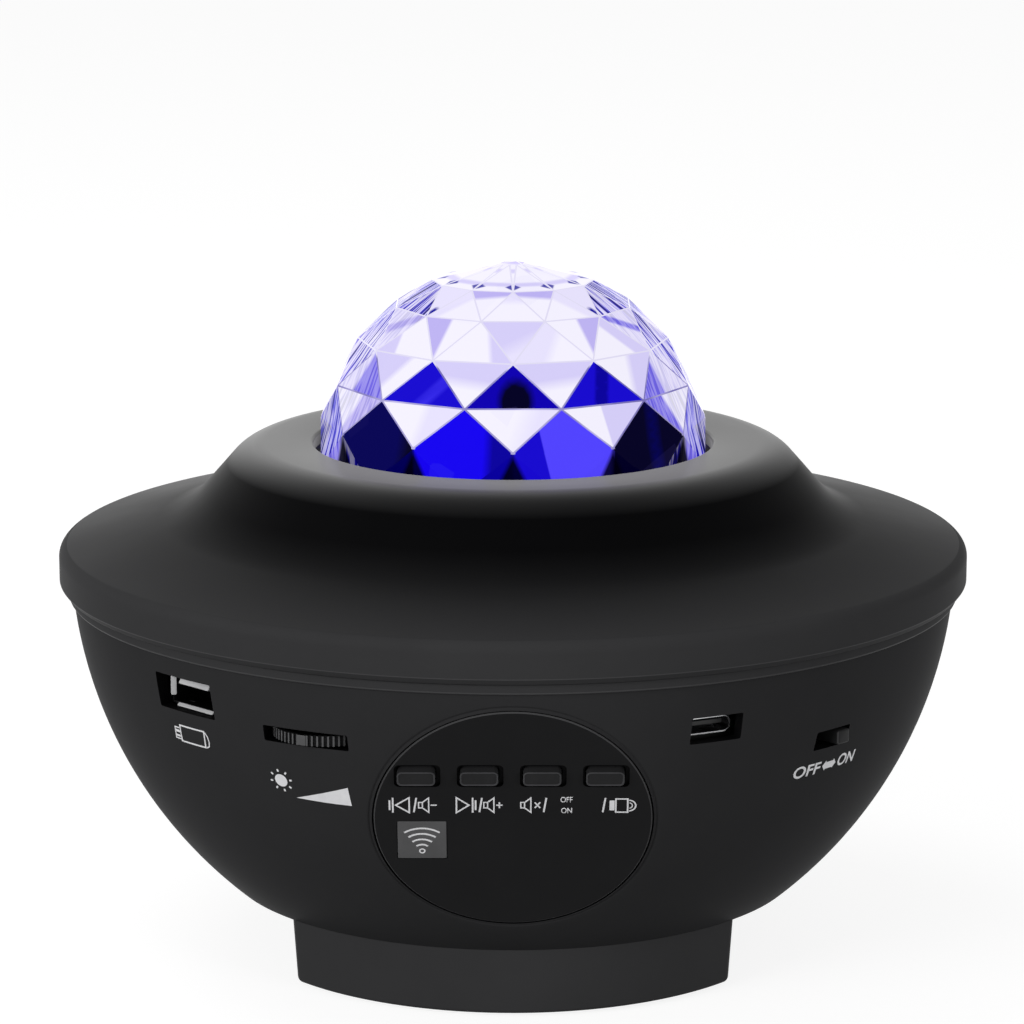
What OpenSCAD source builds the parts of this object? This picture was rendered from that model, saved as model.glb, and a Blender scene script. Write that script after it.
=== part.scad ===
// Star night light projector.
// Millimetres, +Z up, origin under the middle of the object on the surface it stands on.
// The control panel faces -Y. Azimuths are counted from -Y towards +X.

/* [Housing] */
// Radius of the widest rim
rim_r = 84; // [82.5:0.25:88]
// Height of the bowl from its floor to its lip
bowl_h = 53.95; // [53:0.25:56]
// Wall of the bowl
bowl_wall = 2.4; // [2:0.1:2.8]
// Wall of the top cover
cover_wall = 2.4; // [2:0.1:2.8]
// How far the bowl's lip stays behind the rim
lip_back = 1.7; // [1.2:0.1:2.2]
// How far the bowl's lip stands out of the bowl
lip_step = 0.8; // [0.4:0.1:1.2]
// Height of the bowl's lip
lip_h = 1.8; // [1.4:0.1:2.4]
// Height of the rib that centres the cover
rib_h = 2.5; // [1.5:0.25:4]
// Width of the rib that centres the cover
rib_w = 1.6; // [1.2:0.1:2]

/* [Top cover] */
// Height of the rim band up to the middle of its rounding
band_h = 5.28; // [4.5:0.1:7]
// Rounding of the rim's upper edge
rim_round = 2.3; // [1.5:0.1:2.35]
// Chamfer of the rim's lower edge, across
rim_edge_w = 0.73; // [0.4:0.1:1.2]
// Chamfer of the rim's lower edge, up
rim_edge_h = 1; // [0.5:0.1:2]
// Slope of the cover's shoulder
shoulder_angle = 13.4; // [11:0.2:15]
// Radius of the hollow between shoulder and collar
hollow_r = 15.5; // [12:0.5:18]
// Steepest slope of the collar's side
collar_angle = 48.7; // [46:0.5:54]
// Rounding of the collar's edge
collar_round = 8.4; // [6.5:0.2:10]
// Width of the collar's flat top around the dome
collar_w = 9.3; // [8.4:0.1:10.5]
// Height of the collar's top over the cover's lower edge
cover_h = 25.5; // [25:0.1:28]

/* [Dome] */
// Radius of the ball that the dome's corners lie on
dome_r = 36.4; // [35:0.1:37]
// Depth of the ball's centre below the collar's top
dome_sink = 3.4; // [2.8:0.1:4]
// Wall of the dome, counted from its corners
dome_wall = 3.2; // [2.8:0.1:4]
// Number of facet corners in one row
dome_sides = 12; // [10:1:14]
// Radius of the flat spot on the dome's top
pole_r = 2.4; // [1.5:0.1:4]
// Width of the dome's flange
flange_w = 3.8; // [3:0.1:4.4]
// Thickness of the dome's flange
flange_t = 2; // [1.5:0.1:2.6]
// Thickness of the ring that holds the dome
dome_ring_t = 2.4; // [2:0.1:3]
// How far the ring that holds the dome stands out from the flange
dome_ring_w = 1; // [0.6:0.1:1.2]
// Distance of the dome ring's screws outside that ring
dome_screw_out = 2.3; // [2:0.1:2.6]

/* [Base] */
// Radius of the base stand's front and back
base_r = 53.5; // [52.5:0.25:54.5]
// Height of the base stand
base_h = 11.9; // [11:0.25:13]
// Half width of the base stand between its flat sides, at the top
base_side = 39.8; // [39.2:0.2:42]
// Lean of the flat sides
base_draft = 3.8; // [0:0.2:4.4]
// Wall of the base stand
base_wall = 2.4; // [2:0.1:2.6]
// Floor of the base stand
base_floor = 2.4; // [2.2:0.1:2.8]
// Rounding of the base stand's lower edge
base_round = 2; // [1:0.1:2.2]
// How far the feet stand out below the base
foot_out = 0.8; // [0.6:0.1:1.2]
// Depth that the feet are let into the base
foot_in = 0.8; // [0.5:0.1:1.1]
// Radius of a rubber foot
foot_r = 5; // [4:0.25:5.5]
// Feet to the left and right of the middle
foot_x = 28; // [26:0.5:29]
// Feet to the front and back of the middle
foot_y = 32; // [30:0.5:33]
// Base screws to the left and right of the middle
base_screw_x = 20; // [18:0.5:21]
// Base screws to the front and back of the middle
base_screw_y = 42; // [41:0.25:42.5]
// How far the base's opening is wider than the speaker
grille_margin = 2; // [1:0.25:2.5]
// Thickness of the grille's plate
grille_t = 1.2; // [1:0.1:1.6]
// Width of the grille's seat
grille_seat = 2.5; // [2:0.25:3]
// Radius of a sound hole
sound_hole_r = 1.5; // [1:0.1:1.8]
// Distance between the rings of sound holes
sound_pitch = 5.6; // [5:0.2:6]

/* [Control panel] */
// Radius of the flat facet on the bowl's front
facet_r = 24; // [23.6:0.1:24.6]
// Height of the facet's middle over the bowl's floor
panel_up = 29.04; // [28:0.1:30]
// Edge of the facet that shows around the control panel
panel_edge = 0.8; // [0.5:0.1:1.2]
// Thickness of the control panel
panel_t = 2; // [1.6:0.1:2.4]
// Thickness of the bowl behind the panel
panel_back = 2.2; // [1.8:0.1:2.4]
// Width of a button
button_w = 7; // [6:0.1:7.4]
// Height of a button
button_v = 3.6; // [3:0.1:4]
// Distance between buttons
button_pitch = 10.7; // [10.4:0.1:10.9]
// Height of the row of buttons over the panel's middle
button_row = 9.7; // [9.2:0.1:10]
// How far a button stands out of the panel
button_out = 0.9; // [0.8:0.1:1.4]
// Travel of a button
button_travel = 0.5; // [0.3:0.05:0.6]
// Width of the collar that keeps a button in
button_collar = 0.8; // [0.6:0.1:1]
// Width of the receiver window
window_w = 8.5; // [7.5:0.1:9]
// Height of the receiver window
window_v = 8.6; // [7.5:0.1:9]
// Thickness of the receiver window
window_t = 1; // [0.8:0.1:1.2]
// Distance of the receiver window's middle from the panel's left edge
window_in = 7.6; // [7.2:0.1:8.2]
// Receiver window below the panel's middle
window_down = 4.5; // [4.2:0.1:5]

/* [Ports] */
// Azimuth of the USB-A socket
usb_az = -45.2; // [-47:0.2:-44]
// Gap between the dial's room and the button board
dial_side = 1.1; // [0.6:0.1:2]
// Azimuth of the charging socket
charge_az = 25.6; // [25.2:0.1:27]
// Azimuth of the power switch
switch_az = 44.9; // [43.5:0.1:47]
// Width of the USB-A opening
usb_hole_w = 14.4; // [13.8:0.1:15]
// Height of the USB-A opening
usb_hole_h = 6.4; // [6.2:0.1:7]
// Width of the charging opening
charge_hole_w = 9.8; // [9.4:0.1:10.2]
// Height of the charging opening
charge_hole_h = 4.8; // [4:0.1:5.2]
// Width of the switch's opening
switch_hole_w = 8.6; // [8.2:0.1:9.2]
// Height of the switch's opening
switch_hole_h = 3.5; // [3.3:0.1:4]
// Depth of the USB-A socket's mouth behind the bowl's outer face
usb_depth = 2.8; // [2.4:0.1:3.2]
// Depth of the charging socket's mouth behind the bowl's outer face
charge_depth = 3.5; // [2.4:0.1:4]
// Height of the dial's slot
dial_slot_h = 2.9; // [2.7:0.1:3.2]
// Radius of the dial wheel
dial_r = 9.5; // [9:0.1:9.8]
// Thickness of the dial wheel
dial_t = 2; // [1.8:0.1:2.2]
// How far the dial wheel stands out of the bowl
dial_out = 1.2; // [0.8:0.1:1.6]
// Number of grooves around the dial wheel
dial_grooves = 40; // [30:1:44]
// Radius of a groove of the dial wheel
groove_r = 0.3; // [0.2:0.02:0.34]
// Width of the switch knob
knob_w = 3; // [2.6:0.1:3.4]
// Height of the switch knob
knob_h = 2.5; // [2:0.1:2.7]
// How far the switch knob stands out of the bowl
knob_out = 0.9; // [0.6:0.1:1.4]
// Travel of the switch knob
knob_travel = 4; // [3:0.1:4.2]

/* [Boards] */
// Depth of the main board's upper face below the lip
board_down = 10.1; // [9.7:0.1:10.6]
// Thickness of every board
board_t = 1.6; // [1.2:0.1:1.8]
// Distance of the main board from the bowl
board_gap = 1.5; // [1:0.1:2]
// Distance of the main board's back edge in front of the axis
board_edge = 22; // [21:0.25:24]
// Half width of the notch in front of the button board
notch_w = 25.5; // [24.5:0.1:25.8]
// Distance of the notch's floor behind the button board
notch_gap = 4.9; // [4:0.1:6]
// Outer board pillars, to the sides
pillar_x = 52; // [50:0.5:54]
// Outer board pillars, in front of the axis
pillar_y = 30; // [29:0.5:32]
// Inner board pillars, to the sides
inner_pillar_x = 12; // [11:0.5:13]
// Inner board pillars, in front of the axis
inner_pillar_y = 36; // [35:0.5:37]
// Radius of a board pillar
pillar_r = 3.2; // [3:0.1:3.6]
// Distance of the button board behind the panel's backing
button_board_gap = 6.5; // [6.3:0.1:7]
// Half width of the button board
button_board_w = 20; // [19.6:0.1:20.4]
// Upper edge of the button board
button_board_top = 13; // [12.9:0.05:13.4]
// Lower edge of the button board
button_board_low = 13.5; // [13:0.1:14]
// Button board posts, to the sides
post_u = 10.7; // [10.4:0.1:10.9]
// Upper button board posts
post_high = 4; // [3.8:0.05:4.2]
// Lower button board posts
post_low = -10.5; // [-10.8:0.1:-10.3]
// Radius of a button board post
post_r = 1.9; // [1.7:0.05:2]
// Width of a key switch
tact_w = 6; // [5.6:0.1:6.2]
// Height of a key switch
tact_h = 3.5; // [3.3:0.1:3.6]
// Radius of a key switch's plunger
plunger_r = 1.7; // [1.5:0.05:1.8]

/* [Lamp] */
// Room between the main board and the lamp deck
deck_room = 4.3; // [4:0.1:4.8]
// Thickness of the lamp deck
deck_t = 2.4; // [2:0.1:2.8]
// Gap between the lamp deck and the housing posts
deck_gap = 3.8; // [3:0.1:5]
// Gap between the dome ring and the deck bosses beside it
deck_boss_gap = 1.3; // [0.8:0.1:1.8]
// Distance of the deck boss behind the motor
deck_boss_back = 54.4; // [54.2:0.1:54.8]
// Radius of a boss that carries the deck
deck_boss_r = 3.5; // [3.2:0.1:3.6]
// Height of the light tube over the deck
tube_h = 9.3; // [9:0.1:9.6]
// Wall of the light tube
tube_wall = 1.9; // [1.6:0.1:2]
// Radius of the light tube's foot
tube_foot_r = 36.2; // [35.8:0.1:36.6]
// Radius of the LED board
led_board_r = 12.2; // [12:0.1:12.4]
// Radius of the heat sink's plate
sink_r = 11.2; // [10.5:0.1:11.4]
// Length of the heat sink's fins
fin_h = 8; // [6:0.25:9]
// Radius of the laser module
laser_r = 5; // [4.6:0.1:5.1]
// Length of the laser module
laser_l = 18; // [16:0.25:18.5]
// Distance of the laser module from the axis
laser_at = 19; // [18.8:0.1:19.3]
// Width of the laser's cooling block
laser_block_w = 14; // [13:0.1:14.4]

/* [Drive] */
// Module of the gear teeth
gear_module = 1; // [0.98:0.01:1.02]
// Teeth of the lens gear
lens_teeth = 66; // [65:1:67]
// Teeth of the drive pinion
pinion_teeth = 16; // [15:1:17]
// Width of the gear teeth
gear_t = 3; // [2.4:0.1:3.4]
// Radius of the lens gear's neck
neck_r = 29; // [28.6:0.1:29.2]
// Wall of the lens gear's neck
neck_wall = 2.5; // [2:0.1:2.8]
// Length of the lens gear's neck
neck_h = 2.8; // [2:0.1:3]
// Thickness of the ripple lens
lens_t = 1.6; // [1.2:0.1:2]
// Radius of the lens motor
motor_r = 9; // [8.6:0.1:9.2]
// Height of the lens motor
motor_h = 8.4; // [8:0.1:8.6]
// Radius of the motor's shaft
shaft_r = 1.2; // [1:0.05:1.5]

/* [Speaker] */
// Radius of the speaker's frame
speaker_r = 27; // [26.5:0.1:27.5]
// Width of the speaker's screw rim
speaker_rim_w = 3.8; // [3.6:0.1:4.2]
// Width of the surround between cone and basket
surround_w = 3.4; // [3:0.1:4]
// How far the bowl's rim covers the basket's edge
speaker_lip = 1; // [0.6:0.1:1.4]
// Height of the speaker's basket
basket_h = 11; // [10:0.25:13]
// Wall of the speaker's basket
basket_wall = 1.2; // [1:0.1:1.4]
// Radius of the speaker's magnet
magnet_r = 13.5; // [12.5:0.25:14.5]
// Height of the speaker's magnet
magnet_h = 8; // [6:0.25:9]
// Thickness of the gasket
gasket_t = 0.8; // [0.5:0.1:1.2]

/* [Fasteners] */
// Radius of a housing screw's shank
screw_r = 1.5; // [1.3:0.05:1.6]
// Radius of a housing screw's head
screw_head_r = 2.8; // [2.5:0.1:2.9]
// Height of a housing screw's head
screw_head_h = 2; // [1.6:0.1:2.2]
// Length of a housing screw
screw_l = 14; // [12:0.5:16]
// Radius of a small screw's shank
small_r = 0.95; // [0.8:0.05:1]
// Radius of a small screw's head
small_head_r = 1.7; // [1.5:0.05:1.8]
// Height of a small screw's head
small_head_h = 1.1; // [0.8:0.1:1.2]
// Length of a small screw in the bosses
small_l = 5; // [4:0.25:5]
// Gap between the dome ring and the housing posts beside it
post_gap = 0.6; // [0.1:0.1:1.1]
// Radius of a housing post
housing_post_r = 4.2; // [4:0.05:4.3]
// Thickness under a housing screw's head
post_cap = 3.5; // [3:0.1:4]

/* [Fits] */
// Gap between the cover's rim and the bowl's lip
seam = 0.2; // [0.1:0.05:0.4]
// Gap around the cover's centring rib
rib_gap = 0.3; // [0.2:0.05:0.5]
// Gap around the dome in the cover
dome_gap = 0.5; // [0.35:0.05:0.8]
// Gap around the panel and its window
panel_gap = 0.12; // [0.08:0.02:0.3]
// Gap around the buttons
button_gap = 0.2; // [0.15:0.05:0.3]
// Radial clearance of a turning fit
run_gap = 0.06; // [0.03:0.01:0.09]
// Gap between faces that slide past each other
slide_gap = 0.2; // [0.15:0.05:0.25]
// Radial clearance around a screw
screw_gap = 0.05; // [0.03:0.01:0.1]
// Gap around pieces let into a hole
seat_gap = 0.1; // [0.05:0.01:0.15]

/* [Hidden] */
$fn = 96;
eps = 0.01;
far = 200;
fit_gap = 0.02;
pad_w = 1;
screw_short = 0.3;

// Heights of the housing
floor_z = foot_out + base_h;
floor_top = floor_z + bowl_wall;
lip_r = rim_r - lip_back;
mouth_r = lip_r - lip_step;
ball_up = (mouth_r * mouth_r - base_r * base_r + bowl_h * bowl_h) / (2 * bowl_h);
ball_z = floor_z + ball_up;
bowl_r = norm([base_r, ball_up]);
bowl_in = bowl_r - bowl_wall;
lip_z = floor_z + bowl_h;
joint_z = lip_z + lip_h;
board_top = lip_z - board_down;
board_z = board_top - board_t;
cover_z = joint_z + seam;
collar_z = cover_z + cover_h;
rib_r = rim_r - cover_wall - rib_gap;
collar_r = dome_r + collar_w;
flange_r = dome_r + flange_w;
dome_ring_r = flange_r + dome_ring_w;
dome_screw_at = dome_ring_r + dome_screw_out;
post_at = dome_ring_r + post_gap + housing_post_r;
deck_boss_at = dome_ring_r + deck_boss_gap + deck_boss_r;
dome_z = collar_z - dome_sink;
flange_z = collar_z - cover_wall - flange_t;
dome_in = dome_r - dome_wall;
dome_ring_z = flange_z - dome_ring_t;

function polar(r, a) = [r * cos(a), r * sin(a), 0];
function arc(c, r, a0, a1, n) =
    [for (i = [0:n])
        let (a = a0 + (a1 - a0) * i / n)
        c + r * [cos(a), sin(a)]];
function ball_at(z) = sqrt(bowl_r * bowl_r - (ball_z - z) * (ball_z - z));
function ball_in_at(z) = sqrt(bowl_in * bowl_in - (ball_z - z) * (ball_z - z));

// Places of the posts and bosses
post_spots = [for (a = [45:90:315]) polar(post_at, a)];
deck_spots = [
    polar(deck_boss_at, 0),
    polar(deck_boss_at, 180),
    polar(deck_boss_at, 270),
    polar(deck_boss_back, 90)
];
dome_screw_spots = [for (a = [20:90:290]) polar(dome_screw_at, a)];
base_screw_spots = [for (x = [-1, 1], y = [-1, 1]) [x * base_screw_x, y * base_screw_y, 0]];
foot_spots = [for (x = [-1, 1], y = [-1, 1]) [x * foot_x, y * foot_y, 0]];
board_spots = [
    [-pillar_x, -pillar_y, 0],
    [pillar_x, -pillar_y, 0],
    [-inner_pillar_x, -inner_pillar_y, 0],
    [inner_pillar_x, -inner_pillar_y, 0]
];

// Lamp and drive
deck_z = board_top + deck_room;
deck_top = deck_z + deck_t;
deck_r = post_at - housing_post_r - deck_gap;
tube_in = neck_r + run_gap;
tube_r = tube_in + tube_wall;
tube_top = deck_top + tube_h;
gear_z = tube_top + slide_gap;
gear_pitch_r = gear_module * lens_teeth / 2;
pinion_pitch_r = gear_module * pinion_teeth / 2;
centre_dist = gear_pitch_r + pinion_pitch_r;
pressure = 25;
addendum = 0.85 * gear_module;
dedendum = 1.1 * gear_module;
backlash = 0.16;
motor_spot = polar(centre_dist, 90);
motor_pad_r = deck_boss_back + deck_boss_r - centre_dist;
motor_tab = motor_r + 3;
motor_tab_t = 1.2;
motor_tab_end = 3;
motor_tab_w = 5.6;
tab_room = 0.6;
motor_can_gap = 0.5;
shaft_low = 2;
shaft_end = 0.4;
led_board_z = deck_top;
led_top = led_board_z + board_t;
led_at = 3;
led_w = 3.4;
led_h = 0.9;
led_cap_r = 1.4;
sink_pad_r = 8.1;
sink_plate_t = 1.4;
fin_t = 1.2;
fin_pitch = 2.8;
led_screw_at = 10.2;
led_lens_h = 6.2;
led_lens_roof = 3.6;
led_lens_skirt = 2;
led_lens_flare = 3.2;
laser_spot = [-laser_at, 0, 0];
laser_block_h = 9;
laser_low = deck_z - laser_block_h - 1;
laser_top = laser_low + laser_l;
laser_eye_r = 1.6;
laser_eye_depth = 1.5;
laser_slot_w = 1.1;
laser_slot_d = 2.4;
laser_slot_pitch = 2.6;
laser_slot_end = 1.4;
grating_t = 0.8;
tube_screw_at = (tube_r + tube_foot_r) / 2 + 0.15;
tube_foot_t = 1.4;
led_spots = [[0, led_screw_at, 0], [0, -led_screw_at, 0]];
tube_spots = [for (a = [30, 150, 240]) polar(tube_screw_at, a)];
motor_spots = [motor_spot + [motor_tab, 0, 0], motor_spot - [motor_tab, 0, 0]];
lens_r = neck_r - 0.6;
bump_r = 4.2;
bump_h = 0.9;

// Posts that join bowl and cover: the post ends under the deck's level
post_top = deck_z + deck_t - 0.6;
boss_r = housing_post_r - 0.2;
pilot_r = screw_r + screw_gap;
head_hole_r = screw_head_r + 0.3;
small_hole_r = small_r + screw_gap;
small_depth = small_l + 0.4;

// Panel
facet_d = sqrt(bowl_r * bowl_r - facet_r * facet_r);
panel_tilt = asin((ball_up - panel_up) / facet_d);
panel_r = facet_r - panel_edge;
window_x = panel_r - window_in;
pocket_d = facet_d - panel_t;
back_d = pocket_d - panel_back;
panel_boss_r = facet_r + bowl_wall;
button_board_d = back_d - button_board_gap;
collar_t = 1;
collar_d = back_d - 0.1 - collar_t;
tact_top = button_board_d + tact_h;
plunger_depth = 1;
stem_d = tact_top + plunger_depth;
plunger_low = tact_top - plunger_depth / 2;
stem_r = 1.4;
button_places = [for (i = [0:3]) (i - 1.5) * button_pitch];
post_places = [for (u = [-1, 1], v = [post_low, post_high]) [u * post_u, v, 0]];
light_hole = 5.6;
receiver_w = 5.4;
receiver_v = 5;
receiver_t = 3;
receiver_eye_r = 1.9;
facet_room = 6;

// Main board and ports
board_r = ball_in_at(board_z) - board_gap;
notch_y = (button_board_d - board_t) * cos(panel_tilt) - notch_gap;
usb_w = 13.1;
usb_h = 5.7;
usb_l = 14;
usb_wall = 0.4;
usb_leg = 0.5;
usb_z = board_top + usb_leg + usb_h / 2;
usb_face_r = ball_at(usb_z) - usb_depth;
usb_core_l = 3.4;
tongue_w = 10.8;
tongue_t = 1.8;
tongue_z = 0.2;
tongue_l = 8.6;
usb_leg_w = 1.4;
usb_leg_l = 3;
contact_back = 0.8;
contact_w = 1;
contact_t = 0.25;
contact_pitch = 2.3;
charge_w = 8.94;
charge_h = 3.26;
charge_l = 7.3;
charge_wall = 0.3;
charge_in_w = charge_w - 2 * charge_wall;
charge_in_h = charge_h - 2 * charge_wall;
charge_z = board_top + charge_h / 2;
charge_face_r = ball_at(charge_z) - charge_depth;
charge_core_l = 1.6;
charge_tongue_w = 6.7;
charge_tongue_t = 0.7;
charge_tongue_l = 4.4;
dial_lift = 0.3;
dial_low = board_z + dial_lift;
dial_mid = dial_low + dial_t / 2;
dial_axis_r = ball_at(dial_mid) + dial_out - dial_r;
dial_slot_w = 2 * (dial_r - 2) + 1.4;
dial_room = dial_r + 1.2;
dial_x = button_board_w + dial_room + dial_side;
dial_az = -asin(dial_x / dial_axis_r);
dial_y = cos(dial_az) * dial_axis_r;
dial_base_w = 9;
dial_base_h = 3.5;
dial_base_in = dial_axis_r - dial_room - 4.5;
dial_base_out = dial_axis_r + 2.6;
dial_stub_r = 2;
dial_stub_l = 2.2;
dial_stub_gap = 0.2;
switch_h = 5.6;
switch_w = 14;
switch_d = 6;
switch_wall = 0.8;
switch_z = board_z - switch_h / 2;
switch_face_r = ball_in_at(board_z - switch_h) - 2.6;
knob_rest = knob_travel / 2;
slider_w = 5.4;
slider_h = switch_h - 2 * switch_wall - 2 * slide_gap;
slider_d = 2;
slider_root = 0.5;
knob_lip = 3;

// Speaker, cone side down
frame_t = 1.2;
frame_z = floor_top + gasket_t;
basket_z = frame_z + frame_t;
cone_t = 0.6;
magnet_z = basket_z + basket_h;
basket_top_r = magnet_r + 1;
basket_low_r = speaker_r - speaker_rim_w;
basket_in_r = basket_low_r - basket_wall;
cone_r = basket_in_r - surround_w;
speaker_hole_r = basket_in_r - speaker_lip;
throat_r = 7.4;
pole_piece_r = 6;
pole_piece_h = 2.6;
vent_w = 10;
cone_z = basket_z - cone_t;
cone_h = 5.5;
cap_r = 6;
cap_h = 1.6;
speaker_screw_at = (basket_low_r + speaker_r) / 2 + 0.25;
speaker_spots = [for (a = [45:90:315]) polar(speaker_screw_at, a)];

// Base
grille_r = speaker_r + grille_margin;
seat_r = grille_r + grille_seat;
base_head_depth = 3;
base_post_r = 4.2;
foot_hole_r = foot_r + seat_gap;
foot_pad_w = 1.6;
bore_end = 1.6;
bore_l = screw_l - base_h + base_head_depth + bore_end;

// ---- helpers ----
module place(spots, z) { for (p = spots) translate([p[0], p[1], z]) children(); }
module at_az(az, r, z) { rotate([0, 0, az]) translate([0, -r, z]) children(); }
module on_panel(d) {
    translate([0, 0, ball_z]) rotate([90 + panel_tilt, 0, 0]) translate([0, 0, d]) children();
}
module block(w, d, h) { translate([-w / 2, -d / 2, 0]) cube([w, d, h]); }
module ring(r_out, r_in, h) {
    difference() {
        cylinder(r = r_out, h = h);
        translate([0, 0, -1]) cylinder(r = r_in, h = h + 2);
    }
}
// A screw with its head's seat at z = 0 and its shank upwards
module screw(r, head_r, head_h, l) {
    difference() {
        union() {
            cylinder(r = r, h = l, $fn = 24);
            translate([0, 0, -head_h]) cylinder(r = head_r, h = head_h, $fn = 32);
        }
        translate([0, 0, -head_h - eps]) block(head_r * 1.3, head_r * 0.28, head_h * 0.5);
        translate([0, 0, -head_h - eps]) block(head_r * 0.28, head_r * 1.3, head_h * 0.5);
    }
}
module small_screw(l) { screw(small_r, small_head_r, small_head_h, l); }
module small_hole(h) { cylinder(r = small_hole_r, h = h, $fn = 24); }
module turned() { mirror([0, 0, 1]) children(); }

// ---- gear outline: involute flanks, straight below the base circle ----
function inv(r, rb) = let (q = sqrt(max(0, r * r / (rb * rb) - 1))) q * 180 / PI - atan(q);
function flank(r, rp, rb, half) = half + inv(rp, rb) - inv(max(r, rb), rb);
function gear_points(teeth) =
    let (rp = gear_module * teeth / 2)
    let (rb = rp * cos(pressure))
    let (tip = rp + addendum)
    let (root = rp - dedendum)
    let (half = 90 / teeth - backlash / 2 / rp * 180 / PI)
    let (radii = [root, max(root + eps, rb), rp - addendum * 0.35, rp + addendum * 0.3, tip])
    [for (i = [0:teeth - 1], s = [-1, 1], k = [0:4])
        let (r = s < 0 ? radii[k] : radii[4 - k])
        let (a = i * 360 / teeth + s * flank(r, rp, rb, half))
        [r * cos(a), r * sin(a)]];

// ---- cover outline ----
rim_mid = [rim_r - rim_round, cover_z + band_h];
collar_mid = [collar_r, collar_z - collar_round];
function cover_join() =
    let (a = collar_angle, b = shoulder_angle)
    let (top = collar_mid + collar_round * [sin(a), cos(a)])
    let (low = rim_mid + rim_round * [sin(b), cos(b)])
    let (drop = low[1] - top[1] + low[0] * tan(b) + hollow_r * (cos(b) - cos(a)))
    (tan(a) * (hollow_r * (sin(b) - sin(a)) - top[0]) + drop) / (tan(b) - tan(a));
hollow_x = cover_join();
hollow_low = rim_mid + rim_round * [sin(shoulder_angle), cos(shoulder_angle)];
hollow_z = hollow_low[1] + (hollow_low[0] - hollow_x) * tan(shoulder_angle);
hollow_mid = [hollow_x, hollow_z] + hollow_r * [sin(shoulder_angle), cos(shoulder_angle)];
cover_steps = 8;
module cover_outline() {
    a = collar_angle;
    b = shoulder_angle;
    t = cover_wall;
    in_r = rim_r - t;
    in_low = rim_mid + (rim_round - t) * [sin(b), cos(b)];
    in_z = in_low[1] - (in_r - in_low[0]) * tan(b);
    polygon(concat(
        [[dome_r + dome_gap, collar_z]],
        arc(collar_mid, collar_round, 90, 90 - a, cover_steps),
        arc(hollow_mid, hollow_r, 270 - a, 270 - b, cover_steps),
        arc(rim_mid, rim_round, 90 - b, 0, cover_steps),
        [[rim_r, cover_z + rim_edge_h], [rim_r - rim_edge_w, cover_z], [in_r, cover_z], [in_r, in_z]],
        arc(hollow_mid, hollow_r + t, 270 - b, 270 - a, cover_steps),
        arc(collar_mid, collar_round - t, 90 - a, 90, cover_steps),
        [[dome_r + dome_gap, collar_z - t]]
    ));
}
// Everything under the cover's inner face, as a solid of revolution
module cover_inside() {
    b = shoulder_angle;
    t = cover_wall - 1;
    rotate_extrude() polygon(concat(
        [[0, floor_z], [0, collar_z - t]],
        arc(collar_mid, collar_round - t, 90, 90 - collar_angle, cover_steps),
        arc(hollow_mid, hollow_r + t, 270 - collar_angle, 270 - b, cover_steps),
        [rim_mid + (rim_round - t) * [sin(b), cos(b)], [rim_r - cover_wall - 1, floor_z]]
    ));
}

// ---- base ----
// Base plan with leaning flat sides and round front and back, grown inwards by t
module base_body(t, z0, z1) {
    slab = base_side - t;
    intersection() {
        translate([0, 0, z0]) cylinder(r = base_r - t, h = z1 - z0);
        translate([slab, 0, floor_z]) rotate([0, base_draft, 0])
            translate([-far, -far / 2, -far / 2]) cube(far);
        translate([-slab, 0, floor_z]) rotate([0, -base_draft, 0])
            translate([0, -far / 2, -far / 2]) cube(far);
    }
}
module base_stand() {
    color([0.09, 0.09, 0.1]) difference() {
        union() {
            difference() {
                intersection() {
                    base_body(0, foot_out, floor_z);
                    rotate_extrude() polygon(concat(
                        [[0, foot_out]],
                        arc([base_r - base_round, foot_out + base_round], base_round, 270, 360, 6),
                        [[base_r, floor_z], [0, floor_z]]
                    ));
                }
                base_body(base_wall, foot_out + base_floor, floor_z + 1);
            }
            place(base_screw_spots, foot_out + 1) cylinder(r = base_post_r, h = base_h - 1);
            place(foot_spots, foot_out + 1) cylinder(r = foot_r + foot_pad_w, h = base_floor);
        }
        translate([0, 0, foot_out - 1]) cylinder(r = grille_r, h = far);
        translate([0, 0, foot_out + base_floor - grille_t]) cylinder(r = seat_r, h = far);
        place(base_screw_spots, foot_out - 1) cylinder(r = head_hole_r, h = base_head_depth + 1);
        place(base_screw_spots, foot_out) cylinder(r = pilot_r, h = far);
        place(foot_spots, foot_out - 1) cylinder(r = foot_hole_r, h = foot_in + 1);
    }
}
module speaker_grille() {
    color([0.07, 0.07, 0.08]) difference() {
        translate([0, 0, foot_out + base_floor - grille_t]) cylinder(r = seat_r - seat_gap, h = grille_t);
        for (k = [0:4], i = [0:max(0, 6 * k - 1)])
            rotate([0, 0, i * 60 / max(k, 1)]) translate([k * sound_pitch, 0, foot_out - 1])
                cylinder(r = sound_hole_r, h = base_floor + 2, $fn = 24);
    }
}
module rubber_feet() {
    color([0.16, 0.16, 0.16]) place(foot_spots, 0) cylinder(r = foot_r, h = foot_out + foot_in);
}
module base_screws() {
    color("silver") place(base_screw_spots, foot_out + base_head_depth)
        screw(screw_r, screw_head_r, screw_head_h, screw_l);
}

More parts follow.
